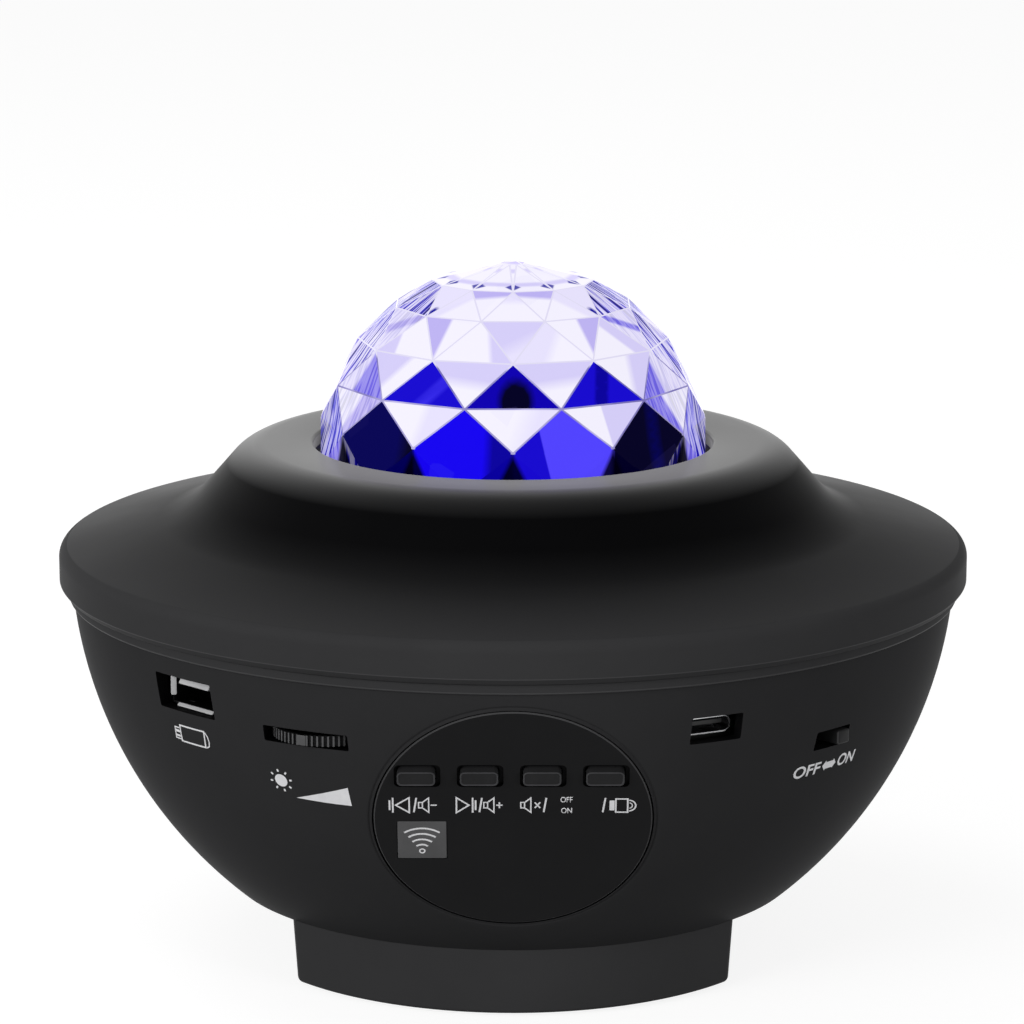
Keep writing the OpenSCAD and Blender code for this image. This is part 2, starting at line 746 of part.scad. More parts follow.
// ---- lower housing ----
module wall_cut(az, z, w, h) {
    at_az(az, ball_in_at(z) - 4, z) translate([-w / 2, -far, -h / 2]) cube([w, far, h]);
}
module lower_housing() {
    color([0.12, 0.12, 0.13]) difference() {
        union() {
            difference() {
                union() {
                    intersection() {
                        translate([0, 0, ball_z]) sphere(r = bowl_r);
                        translate([0, 0, floor_z]) cylinder(r = far, h = bowl_h + eps);
                    }
                    translate([0, 0, lip_z]) ring(lip_r, mouth_r - 2 * bowl_wall, lip_h);
                }
                intersection() {
                    translate([0, 0, ball_z]) sphere(r = bowl_in);
                    translate([0, 0, floor_top]) cylinder(r = far, h = far);
                }
            }
            translate([0, 0, lip_z]) ring(rib_r, rib_r - rib_w, lip_h + seam + rib_h);
            intersection() {
                translate([0, 0, ball_z]) sphere(r = bowl_r - 0.5);
                translate([0, 0, floor_z]) cylinder(r = far, h = far);
                on_panel(back_d) cylinder(r = panel_boss_r, h = far);
            }
            place(post_spots, floor_z + 1) cylinder(r = housing_post_r, h = post_top - floor_z - 1);
            place(base_screw_spots, floor_z + 1) cylinder(r = base_post_r, h = screw_l - 2);
            intersection() {
                place(board_spots, floor_z) cylinder(r = pillar_r, h = board_z - floor_z);
                union() {
                    translate([0, 0, ball_z]) sphere(r = bowl_r - 1);
                    translate([0, 0, floor_z]) cylinder(r = base_r, h = bowl_wall);
                }
            }
            for (p = post_places) on_panel(button_board_d) translate(p)
                cylinder(r = post_r, h = back_d - button_board_d + 1);
        }
        on_panel(facet_d) cylinder(r = facet_r + facet_room, h = far);
        on_panel(pocket_d) cylinder(r = panel_r + panel_gap, h = far);
        for (u = button_places) on_panel(back_d - 1)
            translate([u, button_row, 0]) block(button_w + 2 * button_gap, button_v + 2 * button_gap, far);
        on_panel(back_d - 1) translate([-window_x, -window_down, 0]) block(light_hole, light_hole, far);
        for (p = post_places) on_panel(button_board_d - eps) translate(p) small_hole(small_depth);
        wall_cut(usb_az, usb_z, usb_hole_w, usb_hole_h);
        wall_cut(dial_az, dial_mid, dial_slot_w, dial_slot_h);
        wall_cut(charge_az, charge_z, charge_hole_w, charge_hole_h);
        wall_cut(switch_az, switch_z, switch_hole_w, switch_hole_h);
        translate([0, 0, floor_z - 1]) cylinder(r = speaker_hole_r, h = bowl_wall + 2);
        place(post_spots, floor_z - 1) cylinder(r = head_hole_r, h = post_top - post_cap - floor_z + 1);
        place(post_spots, floor_z) cylinder(r = pilot_r, h = far);
        place(base_screw_spots, floor_z - 1) cylinder(r = pilot_r, h = bore_l);
        place(board_spots, board_z - small_depth) small_hole(far);
        place(speaker_spots, floor_top - 2) small_hole(3);
    }
}
module housing_screws() {
    color("silver") place(post_spots, post_top - post_cap)
        screw(screw_r, screw_head_r, screw_head_h, screw_l);
}

// ---- top cover ----
module top_cover() {
    color([0.11, 0.11, 0.12]) difference() {
        union() {
            rotate_extrude() cover_outline();
            intersection() {
                union() {
                    place(post_spots, post_top) cylinder(r = boss_r, h = far);
                    place(deck_spots, deck_top) cylinder(r = deck_boss_r, h = far);
                    place(dome_screw_spots, flange_z) cylinder(r = small_head_r + pad_w, h = far);
                }
                cover_inside();
            }
        }
        translate([0, 0, flange_z - 1]) cylinder(r = flange_r + seat_gap, h = flange_t + 1);
        place(post_spots, post_top - 1) cylinder(r = pilot_r, h = screw_l - post_cap + 2);
        place(deck_spots, deck_top - 1) small_hole(small_depth + 1);
        place(dome_screw_spots, flange_z - 1) small_hole(small_l - dome_ring_t + 1 + screw_short);
    }
}

// ---- dome ----
// Elevations of the rows of facet corners, from the seat to the flat pole
dome_rows = [0, 12.3, 24.4, 38.2, 52.7, 66, acos(pole_r / dome_r)];
function dome_corner(k, i) =
    let (el = dome_rows[k])
    let (az = (i + (k % 2 == 0 ? 0.5 : 0)) * 360 / dome_sides - 90)
    dome_r * [cos(el) * cos(az), cos(el) * sin(az), sin(el)];
module dome_facets() {
    n = dome_sides;
    last = len(dome_rows) - 1;
    points = [for (k = [0:last], i = [0:n - 1]) dome_corner(k, i)];
    low = [for (k = [0:last - 1], i = [0:n - 1])
        let (j = (i + 1) % n)
        [k * n + i, (k + 1) * n + (k % 2 == 0 ? j : i), k * n + j]];
    high = [for (k = [0:last - 1], i = [0:n - 1])
        let (j = (i + 1) % n)
        [k * n + (k % 2 == 0 ? i : j), (k + 1) * n + i, (k + 1) * n + j]];
    cap = [[for (i = [0:n - 1]) last * n + n - 1 - i]];
    seat = [[for (i = [0:n - 1]) i]];
    polyhedron(points = points, faces = concat(low, high, cap, seat));
}
module dome() {
    color([0.35, 0.3, 0.95, 0.6]) difference() {
        union() {
            translate([0, 0, dome_z]) dome_facets();
            translate([0, 0, flange_z]) cylinder(r = flange_r, h = flange_t);
        }
        translate([0, 0, dome_z]) sphere(r = dome_in);
        translate([0, 0, flange_z - 1]) cylinder(r = dome_in, h = dome_z - flange_z + 1);
    }
}
module dome_ring() {
    color([0.2, 0.2, 0.22]) difference() {
        union() {
            translate([0, 0, dome_ring_z]) cylinder(r = dome_ring_r, h = dome_ring_t);
            place(dome_screw_spots, dome_ring_z) cylinder(r = small_head_r + pad_w, h = dome_ring_t);
        }
        translate([0, 0, dome_ring_z - 1]) cylinder(r = dome_in, h = dome_ring_t + 2);
        place(dome_screw_spots, dome_ring_z - 1) small_hole(dome_ring_t + 2);
    }
}
module dome_ring_screws() {
    color("silver") place(dome_screw_spots, dome_ring_z) small_screw(small_l);
}

// ---- lamp deck and what stands on it ----
module lamp_deck() {
    color([0.85, 0.85, 0.84]) difference() {
        union() {
            translate([0, 0, deck_z]) cylinder(r = deck_r, h = deck_t);
            translate([motor_spot[0], motor_spot[1], deck_z]) cylinder(r = motor_pad_r, h = deck_t);
            for (a = [0, 180, 270]) rotate([0, 0, a]) translate([deck_r - 3, -deck_boss_r, deck_z])
                cube([deck_boss_at - deck_r + 3, 2 * deck_boss_r, deck_t]);
            place(deck_spots, deck_z) cylinder(r = deck_boss_r, h = deck_t);
        }
        place(deck_spots, deck_z - 1) small_hole(deck_t + 2);
        translate([0, 0, deck_z - 1]) cylinder(r = sink_pad_r + seat_gap, h = deck_t + 2);
        translate([laser_spot[0], 0, deck_z - 1]) cylinder(r = laser_r + seat_gap, h = deck_t + 2);
        place(concat(led_spots, tube_spots, motor_spots), deck_z - 1) small_hole(deck_t + 2);
    }
}
module deck_screws() {
    color("silver") place(deck_spots, deck_z) small_screw(small_l + deck_t);
}
module light_tube() {
    color([0.92, 0.92, 0.9]) difference() {
        union() {
            translate([0, 0, deck_top]) cylinder(r = tube_r, h = tube_h);
            translate([0, 0, deck_top]) cylinder(r = tube_foot_r, h = tube_foot_t);
        }
        translate([0, 0, deck_top - 1]) cylinder(r = tube_in, h = tube_h + 2);
        place(tube_spots, deck_top - 1) small_hole(tube_foot_t + 2);
        translate([motor_spot[0], motor_spot[1], deck_top - 1]) {
            cylinder(r = motor_r + motor_can_gap, h = tube_foot_t + 2);
            block(2 * (motor_tab + motor_tab_end) + tab_room, motor_tab_w + 2 * tab_room, tube_foot_t + 2);
        }
    }
}
// All the screws that go down into the deck, heads up
module small_screws() {
    color("silver") {
        place(led_spots, led_top) turned() small_screw(board_t + deck_t - screw_short);
        place(tube_spots, deck_top + tube_foot_t) turned() small_screw(tube_foot_t + deck_t - screw_short);
        place(motor_spots, deck_top + motor_tab_t) turned() small_screw(motor_tab_t + deck_t - screw_short);
    }
}
module lens_gear() {
    color([0.95, 0.95, 0.92]) difference() {
        union() {
            translate([0, 0, gear_z]) rotate([0, 0, 90 + 180 / lens_teeth])
                linear_extrude(height = gear_t) polygon(gear_points(lens_teeth));
            translate([0, 0, gear_z - neck_h]) cylinder(r = neck_r, h = neck_h + 1);
        }
        translate([0, 0, gear_z - neck_h - 1]) cylinder(r = neck_r - neck_wall, h = far);
        translate([0, 0, gear_z + gear_t - lens_t]) cylinder(r = lens_r + seat_gap, h = far);
    }
}
module ripple_lens() {
    color([0.8, 0.9, 1, 0.5]) translate([0, 0, gear_z + gear_t - lens_t]) {
        cylinder(r = lens_r, h = lens_t);
        intersection() {
            cylinder(r = lens_r, h = far);
            for (k = [1:3], i = [0:6 * k - 1]) rotate([0, 0, i * 60 / k + 15 * k])
                translate([k * lens_r / 3.8, 0, lens_t + bump_h - bump_r]) sphere(r = bump_r);
        }
    }
}
module drive_pinion() {
    color([0.95, 0.95, 0.92]) translate([motor_spot[0], motor_spot[1], gear_z]) difference() {
        rotate([0, 0, 270]) linear_extrude(height = gear_t) polygon(gear_points(pinion_teeth));
        translate([0, 0, -1]) cylinder(r = shaft_r + fit_gap, h = gear_t + 2);
    }
}
module motor_shaft() {
    low = deck_top + shaft_low;
    color("silver") translate([motor_spot[0], motor_spot[1], low])
        cylinder(r = shaft_r, h = gear_z + gear_t + shaft_end - low);
}
module lens_motor() {
    color([0.75, 0.76, 0.78]) translate([motor_spot[0], motor_spot[1], deck_top]) difference() {
        union() {
            cylinder(r = motor_r, h = motor_h);
            block(2 * (motor_tab + motor_tab_end), motor_tab_w, motor_tab_t);
        }
        translate([0, 0, shaft_low - slide_gap]) cylinder(r = shaft_r + run_gap, h = far);
        for (s = [-1, 1]) translate([s * motor_tab, 0, -1]) small_hole(far);
    }
}
module led_board() {
    color([0.9, 0.92, 0.9]) translate([0, 0, led_board_z]) difference() {
        cylinder(r = led_board_r, h = board_t);
        place(led_spots, -1) small_hole(board_t + 2);
    }
}
module leds() {
    color([0.98, 0.9, 0.5]) for (x = [-1, 1], y = [-1, 1]) translate([x * led_at, y * led_at, led_top]) {
        block(led_w, led_w, led_h);
        translate([0, 0, led_h]) intersection() {
            sphere(r = led_cap_r, $fn = 32);
            translate([0, 0, -eps]) cylinder(r = led_cap_r * 2, h = led_cap_r * 2);
        }
    }
}
module led_lens() {
    out = sink_pad_r;
    in = out - 1;
    color([0.85, 0.93, 1, 0.5]) translate([0, 0, led_top]) rotate_extrude() polygon([
        [in, 0], [out, 0], [out, led_lens_skirt], [out + led_lens_flare, led_lens_h],
        [0, led_lens_h], [0, led_lens_roof], [in, led_lens_roof]
    ]);
}
module led_heat_sink() {
    color([0.7, 0.71, 0.73]) {
        translate([0, 0, deck_z - eps]) cylinder(r = sink_pad_r, h = deck_t + eps);
        translate([0, 0, deck_z - sink_plate_t]) cylinder(r = sink_r, h = sink_plate_t);
        intersection() {
            translate([0, 0, deck_z - sink_plate_t - fin_h]) cylinder(r = sink_r, h = fin_h + eps);
            for (i = [-3:3]) translate([i * fin_pitch, 0, deck_z - sink_plate_t - fin_h])
                block(fin_t, far, fin_h + eps);
        }
    }
}
module laser_module() {
    color([0.8, 0.65, 0.3]) translate([laser_spot[0], 0, laser_low]) difference() {
        cylinder(r = laser_r, h = laser_l);
        translate([0, 0, laser_l - laser_eye_depth]) cylinder(r = laser_eye_r, h = far);
    }
}
module laser_block() {
    color([0.68, 0.7, 0.72]) translate([laser_spot[0], 0, deck_z - laser_block_h]) difference() {
        block(laser_block_w, laser_block_w, laser_block_h);
        translate([0, 0, -1]) cylinder(r = laser_r + fit_gap, h = far);
        for (i = [-1, 1], s = [-2:2]) translate([i * laser_block_w / 2, s * laser_slot_pitch, -1])
            block(laser_slot_d, laser_slot_w, laser_block_h - laser_slot_end);
    }
}
module laser_grating() {
    color([0.6, 0.9, 0.8, 0.5]) translate([laser_spot[0], 0, laser_top])
        cylinder(r = laser_r - 0.8, h = grating_t);
}

// ---- main board ----
module board_plan() {
    intersection() {
        cylinder(r = board_r, h = board_t);
        translate([-far, -far - board_edge, -1]) cube([2 * far, far, board_t + 2]);
    }
}
module main_board() {
    color([0.1, 0.35, 0.2]) difference() {
        translate([0, 0, board_z]) board_plan();
        translate([-notch_w, -far - notch_y, board_z - 1]) cube([2 * notch_w, far, board_t + 2]);
        at_az(dial_az, dial_axis_r, board_z - 1) cylinder(r = dial_room, h = board_t + 2);
        at_az(dial_az, dial_axis_r + far / 2, board_z - 1) block(2 * dial_room, far, board_t + 2);
        translate([-dial_x, -far - dial_y, board_z - 1]) cube([dial_x, far, board_t + 2]);
        place(post_spots, board_z - 1) cylinder(r = housing_post_r + 1, h = board_t + 2);
        place(board_spots, board_z - 1) small_hole(board_t + 2);
    }
}
// Place, width, depth and height of each chip
chips = [
    [0, -36, 9, 9, 1.2],
    [26, -40, 6, 5, 1.1],
    [-22, -42, 8, 6, 1.3],
    [40, -27, 7, 7, 4.4],
    [-14, -46, 4, 3, 1]
];
module board_chips() {
    color([0.08, 0.08, 0.09]) for (c = chips)
        translate([c[0], c[1], board_top]) block(c[2], c[3], c[4]);
}
module board_screws() {
    color("silver") place(board_spots, board_top) turned() small_screw(board_t + small_l);
}
module usb_shell() {
    color([0.78, 0.78, 0.8]) at_az(usb_az, usb_face_r, usb_z) difference() {
        union() {
            translate([-usb_w / 2, 0, -usb_h / 2]) cube([usb_w, usb_l, usb_h]);
            for (s = [-1, 1]) translate([s * (usb_w / 2 - 1), usb_l * 0.6, -usb_h / 2 - usb_leg])
                block(usb_leg_w, usb_leg_l, usb_leg + usb_wall / 2);
        }
        translate([-usb_w / 2 + usb_wall, -1, -usb_h / 2 + usb_wall])
            cube([usb_w - 2 * usb_wall, usb_l + 2, usb_h - 2 * usb_wall]);
    }
}
module usb_core() {
    room_w = usb_w - 2 * usb_wall - 2 * fit_gap;
    room_h = usb_h - 2 * usb_wall - 2 * fit_gap;
    back = usb_l - usb_core_l;
    color([0.9, 0.9, 0.88]) at_az(usb_az, usb_face_r, usb_z) {
        translate([-room_w / 2, back, -room_h / 2]) cube([room_w, usb_core_l, room_h]);
        translate([-tongue_w / 2, back - tongue_l, tongue_z]) cube([tongue_w, tongue_l + eps, tongue_t]);
    }
}
module usb_contacts() {
    tip = usb_l - usb_core_l - tongue_l + contact_back;
    color([0.9, 0.75, 0.3]) at_az(usb_az, usb_face_r, usb_z) for (i = [-1.5:1:1.5])
        translate([i * contact_pitch - contact_w / 2, tip, tongue_z - contact_t])
            cube([contact_w, tongue_l - contact_back, contact_t]);
}
// A flat-sided ring outline with round ends, lying along X, extruded inwards
module slot_bar(w, h, l) {
    rotate([-90, 0, 0]) {
        for (s = [-1, 1]) translate([s * (w - h) / 2, 0, 0]) cylinder(r = h / 2, h = l, $fn = 32);
        translate([-(w - h) / 2, -h / 2, 0]) cube([w - h, h, l]);
    }
}
module charge_shell() {
    color([0.78, 0.78, 0.8]) at_az(charge_az, charge_face_r, charge_z) difference() {
        slot_bar(charge_w, charge_h, charge_l);
        translate([0, -1, 0]) slot_bar(charge_in_w, charge_in_h, charge_l + 2);
    }
}
module charge_core() {
    room_w = charge_in_w - 2 * fit_gap;
    room_h = charge_in_h - 2 * fit_gap;
    color([0.1, 0.1, 0.11]) at_az(charge_az, charge_face_r, charge_z) {
        translate([0, charge_l - charge_core_l, 0]) slot_bar(room_w, room_h, charge_core_l);
        translate([-charge_tongue_w / 2, charge_l - charge_core_l - charge_tongue_l, -charge_tongue_t / 2])
            cube([charge_tongue_w, charge_tongue_l + eps, charge_tongue_t]);
    }
}
module dial_base() {
    color([0.15, 0.2, 0.45]) difference() {
        at_az(dial_az, 0, board_z - dial_base_h) translate([-dial_base_w / 2, -dial_base_out, 0])
            cube([dial_base_w, dial_base_out - dial_base_in, dial_base_h]);
        at_az(dial_az, dial_axis_r, board_z - dial_stub_l - dial_stub_gap)
            cylinder(r = dial_stub_r + run_gap, h = far);
    }
}
module dial_wheel() {
    color([0.2, 0.2, 0.21]) at_az(dial_az, dial_axis_r, dial_low) difference() {
        union() {
            cylinder(r = dial_r, h = dial_t);
            translate([0, 0, dial_stub_gap - dial_lift - dial_stub_l])
                cylinder(r = dial_stub_r, h = dial_stub_l + dial_lift);
        }
        for (i = [0:dial_grooves - 1]) rotate([0, 0, i * 360 / dial_grooves])
            translate([dial_r, 0, -1]) cylinder(r = groove_r, h = dial_t + 2, $fn = 16);
    }
}
module switch_body() {
    color([0.7, 0.71, 0.73]) at_az(switch_az, switch_face_r, switch_z) difference() {
        translate([-switch_w / 2, 0, -switch_h / 2]) cube([switch_w, switch_d, switch_h]);
        translate([-switch_w / 2 + switch_wall, switch_wall, -switch_h / 2 + switch_wall])
            cube([switch_w - 2 * switch_wall, switch_d - 2 * switch_wall, switch_h - 2 * switch_wall]);
        translate([-(knob_w + knob_travel) / 2 - slide_gap, -1, -knob_h / 2 - slide_gap])
            cube([knob_w + knob_travel + 2 * slide_gap, knob_lip, knob_h + 2 * slide_gap]);
    }
}
module switch_knob() {
    knob_l = ball_at(switch_z) + knob_out - switch_face_r;
    back = switch_wall + slide_gap;
    color([0.1, 0.1, 0.11]) at_az(switch_az, switch_face_r, switch_z) translate([knob_rest, 0, 0]) {
        translate([-knob_w / 2, -knob_l, -knob_h / 2]) cube([knob_w, knob_l + back + slider_root, knob_h]);
        translate([-slider_w / 2, back, -slider_h / 2]) cube([slider_w, slider_d, slider_h]);
    }
}

// ---- control panel ----
module control_panel() {
    color([0.07, 0.07, 0.08]) on_panel(pocket_d) difference() {
        cylinder(r = panel_r, h = panel_t);
        for (u = button_places) translate([u, button_row, -1])
            block(button_w + 2 * button_gap, button_v + 2 * button_gap, panel_t + 2);
        translate([-window_x, -window_down, -1]) block(light_hole, light_hole, panel_t + 2);
        translate([-window_x, -window_down, panel_t - window_t])
            block(window_w + 2 * panel_gap, window_v + 2 * panel_gap, panel_t);
    }
}
module receiver_window() {
    color([0.35, 0.35, 0.36]) on_panel(facet_d - window_t) translate([-window_x, -window_down, 0])
        block(window_w, window_v, window_t);
}
module button_board() {
    color([0.1, 0.35, 0.2]) on_panel(button_board_d - board_t) difference() {
        translate([-button_board_w, -button_board_low, 0])
            cube([2 * button_board_w, button_board_low + button_board_top, board_t]);
        place(post_places, -1) small_hole(board_t + 2);
    }
}
module button_board_screws() {
    color("silver") on_panel(button_board_d - board_t) place(post_places, 0)
        small_screw(board_t + small_l - 2 * screw_short);
}
module button(k) {
    color([0.13, 0.13, 0.14]) on_panel(0) translate([button_places[k - 1], button_row, 0]) {
        translate([0, 0, collar_d]) block(button_w, button_v, facet_d + button_out - collar_d);
        translate([0, 0, collar_d])
            block(button_w + 2 * button_collar, button_v + 2 * button_collar, collar_t);
        translate([0, 0, stem_d]) cylinder(r = stem_r, h = collar_d - stem_d + eps, $fn = 32);
    }
}
module button_1() { button(1); }
module button_2() { button(2); }
module button_3() { button(3); }
module button_4() { button(4); }
module plunger(k) {
    color([0.9, 0.9, 0.88]) on_panel(plunger_low) translate([button_places[k - 1], button_row, 0])
        cylinder(r = plunger_r, h = stem_d - plunger_low, $fn = 32);
}
module plunger_1() { plunger(1); }
module plunger_2() { plunger(2); }
module plunger_3() { plunger(3); }
module plunger_4() { plunger(4); }
module key_switches() {
    bore_low = tact_h - plunger_depth - button_travel - seat_gap;
    color([0.1, 0.1, 0.11]) for (u = button_places) on_panel(button_board_d)
        translate([u, button_row, 0]) difference() {
            block(tact_w, tact_w, tact_h);
            translate([0, 0, bore_low]) cylinder(r = plunger_r + run_gap, h = far, $fn = 32);
        }
}
module infrared_receiver() {
    color([0.15, 0.1, 0.12]) on_panel(button_board_d) translate([-window_x + 0.4, -window_down, 0]) {
        block(receiver_w, receiver_v, receiver_t);
        translate([0, 0, receiver_t - 0.8]) sphere(r = receiver_eye_r, $fn = 32);
    }
}

// ---- speaker ----
module speaker_gasket() {
    color([0.2, 0.2, 0.2]) translate([0, 0, floor_top]) difference() {
        ring(speaker_r, speaker_hole_r + 0.6, gasket_t);
        place(speaker_spots, -1) small_hole(gasket_t + 2);
    }
}
module speaker_frame() {
    wall = basket_wall;
    color([0.55, 0.56, 0.58]) difference() {
        union() {
            translate([0, 0, frame_z]) ring(speaker_r, basket_in_r, frame_t);
            rotate_extrude() polygon([
                [basket_in_r, basket_z - eps], [basket_low_r, basket_z - eps],
                [basket_top_r, magnet_z - wall], [basket_top_r, magnet_z], [throat_r, magnet_z],
                [throat_r, magnet_z - wall], [basket_top_r - wall, magnet_z - wall]
            ]);
        }
        for (a = [0:60:120]) rotate([0, 0, a]) translate([0, 0, basket_z + 2])
            block(vent_w, far, basket_h - 2 * wall - 3);
        place(speaker_spots, frame_z - 1) small_hole(frame_t + 2);
    }
}
module speaker_magnet() {
    color([0.25, 0.25, 0.27]) translate([0, 0, magnet_z]) {
        cylinder(r = magnet_r, h = magnet_h);
        translate([0, 0, -pole_piece_h]) cylinder(r = pole_piece_r, h = pole_piece_h + eps);
    }
}
module speaker_cone() {
    top_r = cap_r + 1.6;
    color([0.1, 0.1, 0.1]) {
        translate([0, 0, cone_z]) rotate_extrude() polygon([
            [cone_r - cone_t, 0], [cone_r, 0], [cone_r, cone_t], [top_r, cone_h], [0, cone_h],
            [0, cone_h - cone_t], [top_r - cone_t, cone_h - cone_t], [cone_r - 2 * cone_t, cone_t]
        ]);
        translate([0, 0, cone_z + cone_h - cone_t - cap_h])
            cylinder(r1 = cap_r / 2, r2 = cap_r, h = cap_h + eps);
    }
}
module speaker_surround() {
    color([0.15, 0.15, 0.15]) translate([0, 0, cone_z])
        ring(basket_in_r - fit_gap, cone_r + fit_gap, cone_t);
}
module speaker_screws() {
    color("silver") place(speaker_spots, basket_z) turned() small_screw(frame_t + gasket_t + bore_end);
}

base_stand();
speaker_grille();
rubber_feet();
base_screws();
lower_housing();
top_cover();
housing_screws();
dome();
dome_ring();
dome_ring_screws();
lamp_deck();
deck_screws();
light_tube();
small_screws();
lens_gear();
ripple_lens();
drive_pinion();
motor_shaft();
lens_motor();
led_board();
leds();
led_lens();
led_heat_sink();
laser_module();
laser_block();
laser_grating();
main_board();
board_chips();
board_screws();
usb_shell();
usb_core();
usb_contacts();
charge_shell();
charge_core();
dial_base();
dial_wheel();
switch_body();
switch_knob();
control_panel();
receiver_window();
button_board();
button_board_screws();
button_1();
button_2();
button_3();
button_4();
plunger_1();
plunger_2();
plunger_3();
plunger_4();
key_switches();
infrared_receiver();
speaker_frame();
speaker_magnet();
speaker_cone();
speaker_surround();
speaker_gasket();
speaker_screws();
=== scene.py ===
"""Star night light projector: the visible pieces and their finishes."""
import math

import bpy
from mathutils import Matrix, Vector
from mathutils.kdtree import KDTree


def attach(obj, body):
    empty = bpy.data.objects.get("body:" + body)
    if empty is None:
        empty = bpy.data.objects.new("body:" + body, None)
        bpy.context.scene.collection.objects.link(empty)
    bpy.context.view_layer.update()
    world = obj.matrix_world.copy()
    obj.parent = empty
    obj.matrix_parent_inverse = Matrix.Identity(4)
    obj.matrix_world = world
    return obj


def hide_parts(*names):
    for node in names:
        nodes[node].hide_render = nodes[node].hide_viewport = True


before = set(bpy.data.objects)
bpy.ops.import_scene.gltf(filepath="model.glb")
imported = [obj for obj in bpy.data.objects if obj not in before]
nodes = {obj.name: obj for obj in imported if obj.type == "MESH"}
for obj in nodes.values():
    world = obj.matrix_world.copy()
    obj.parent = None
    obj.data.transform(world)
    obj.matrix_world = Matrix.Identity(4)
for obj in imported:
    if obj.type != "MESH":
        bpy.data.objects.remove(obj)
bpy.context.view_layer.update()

# ---- sizes in millimetres and degrees, as in the source where it has them ----
MM = 0.001
RIM_R, LIP_R = 84.0, 82.3
BOWL_R, BOWL_WALL, BALL_Z = 81.8971, 2.4, 74.7074
BOWL_IN = BOWL_R - BOWL_WALL
FLOOR_Z, FLOOR_TOP, LIP_Z, JOINT_Z = 12.7, 15.1, 66.65, 68.45
COVER_Z, COLLAR_Z, COVER_WALL = 68.65, 94.15, 2.4
RIB_R, RIB_W, RIB_TOP = 81.3, 1.6, 71.15
DOME_R, DOME_Z, DOME_IN = 36.4, 90.75, 33.2
FLANGE_R, FLANGE_Z = 40.2, 89.75
BASE_R, BASE_SIDE, BASE_Z, BASE_LEAN, BASE_WALL = 53.5, 39.8, 0.8, 3.8, 2.4
FACET_D, POCKET_D, BACK_D = 78.3018, 76.3018, 74.1018
PANEL_R, POCKET_R, FACET_R, PANEL_BACK_R = 23.84, 24.08, 25.1, 26.4
PANEL_TILT = 24.898
BUTTON_V, BUTTON_PITCH, BUTTON_OUT, BUTTON_LOW = 9.7, 10.7, 0.9, 73.0
CAP_U, CAP_V = -0.4, 9.85
WINDOW_U, WINDOW_V = -15.6, -4.5
DECK_TOP, POST_TOP, POST_LOW, PILLAR_TOP = 63.25, 62.65, 14.9, 54.95
SCREW_R, HEAD_R, POST_R, POST_RING = 1.55, 3.1, 4.2, 46
DIAL_AZ, DIAL_AXIS, DIAL_LOW, DIAL_R, DIAL_T = -26.413, 71.490, 55.25, 9.5, 2.0
USB_AZ, USB_FACE, USB_Z = -45.2, 77.748, 59.9
CHARGE_AZ, CHARGE_FACE, CHARGE_Z = 25.6, 76.712, 58.18
SWITCH_AZ, SWITCH_Z = 44.9, 52.15

QUARTERS = range(45, 360, 90)
CORNERS = [(x, y) for x in (-1, 1) for y in (-1, 1)]
FEET = [(x * 28, y * 32) for x, y in CORNERS]
STAND_POSTS = [(x * 20, y * 42) for x, y in CORNERS]
KEYS_U = [(i - 1.5) * BUTTON_PITCH for i in range(4)]


# ---- the bench: selecting, shaping and placing ----
def only(*objs):
    """Leaves just these objects selected, the first one active."""
    bpy.ops.object.select_all(action="DESELECT")
    for o in objs:
        o.select_set(True)
    bpy.context.view_layer.objects.active = objs[0]


def added(name):
    """The primitive just added, named, with its place in its mesh."""
    o = bpy.context.object
    o.name = name
    o.data.name = name
    bpy.ops.object.transform_apply(location=True, rotation=True, scale=True)
    return o


def open_all():
    """Opens the active object for editing with all of it selected."""
    bpy.ops.object.mode_set(mode="EDIT")
    bpy.ops.mesh.select_all(action="SELECT")


def edit(o, mode="VERT", action="DESELECT"):
    """Opens o for editing with nothing selected, or with all of it."""
    only(o)
    bpy.ops.object.mode_set(mode="EDIT")
    bpy.ops.mesh.select_mode(type=mode)
    bpy.ops.mesh.select_all(action=action)


def close(outwards=False):
    """Leaves the editing. Where asked, every face is first turned outwards."""
    if outwards:
        bpy.ops.mesh.select_all(action="SELECT")
        bpy.ops.mesh.normals_make_consistent(inside=False)
    bpy.ops.object.mode_set(mode="OBJECT")


def pick(o, mode, test):
    """Opens o with the vertices, edges or faces selected that pass the test.

    A vertex is tested by its place, an edge by the places of its two ends."""
    edit(o, mode)
    close()
    me = o.data
    if mode == "VERT":
        for v in me.vertices:
            v.select = test(v.co)
    elif mode == "EDGE":
        for e in me.edges:
            e.select = test(*[me.vertices[i].co for i in e.vertices])
    else:
        for f in me.polygons:
            f.select = test(f)
    bpy.ops.object.mode_set(mode="EDIT")


def inset(*steps):
    """Insets the selected faces by each (width, height) in turn and closes the mesh."""
    for width, height in steps:
        bpy.ops.mesh.inset(thickness=width * MM, depth=height * MM)
    close()


def bevelled(offset, segments):
    """Bevels the selected edges and closes the mesh."""
    bpy.ops.mesh.bevel(offset=offset * MM, segments=segments, affect="EDGES")
    close()


def grown(rise, wider, deeper, turn=0):
    """Extrudes the selection upwards, then turns and scales it about the middle."""
    bpy.ops.mesh.extrude_region_move(TRANSFORM_OT_translate={"value": (0, 0, rise * MM)})
    if turn:
        bpy.ops.transform.rotate(value=math.radians(turn), orient_axis="Z",
                                 center_override=(0, 0, 0))
    bpy.ops.transform.resize(value=(wider, deeper, 1), center_override=(0, 0, 0))


def arc(c, r, a0, a1, n):
    """Points on an arc round c, its angles in degrees."""
    out = []
    for i in range(n + 1):
        a = math.radians(a0 + (a1 - a0) * i / n)
        out.append((c[0] + r * math.cos(a), c[1] + r * math.sin(a)))
    return out


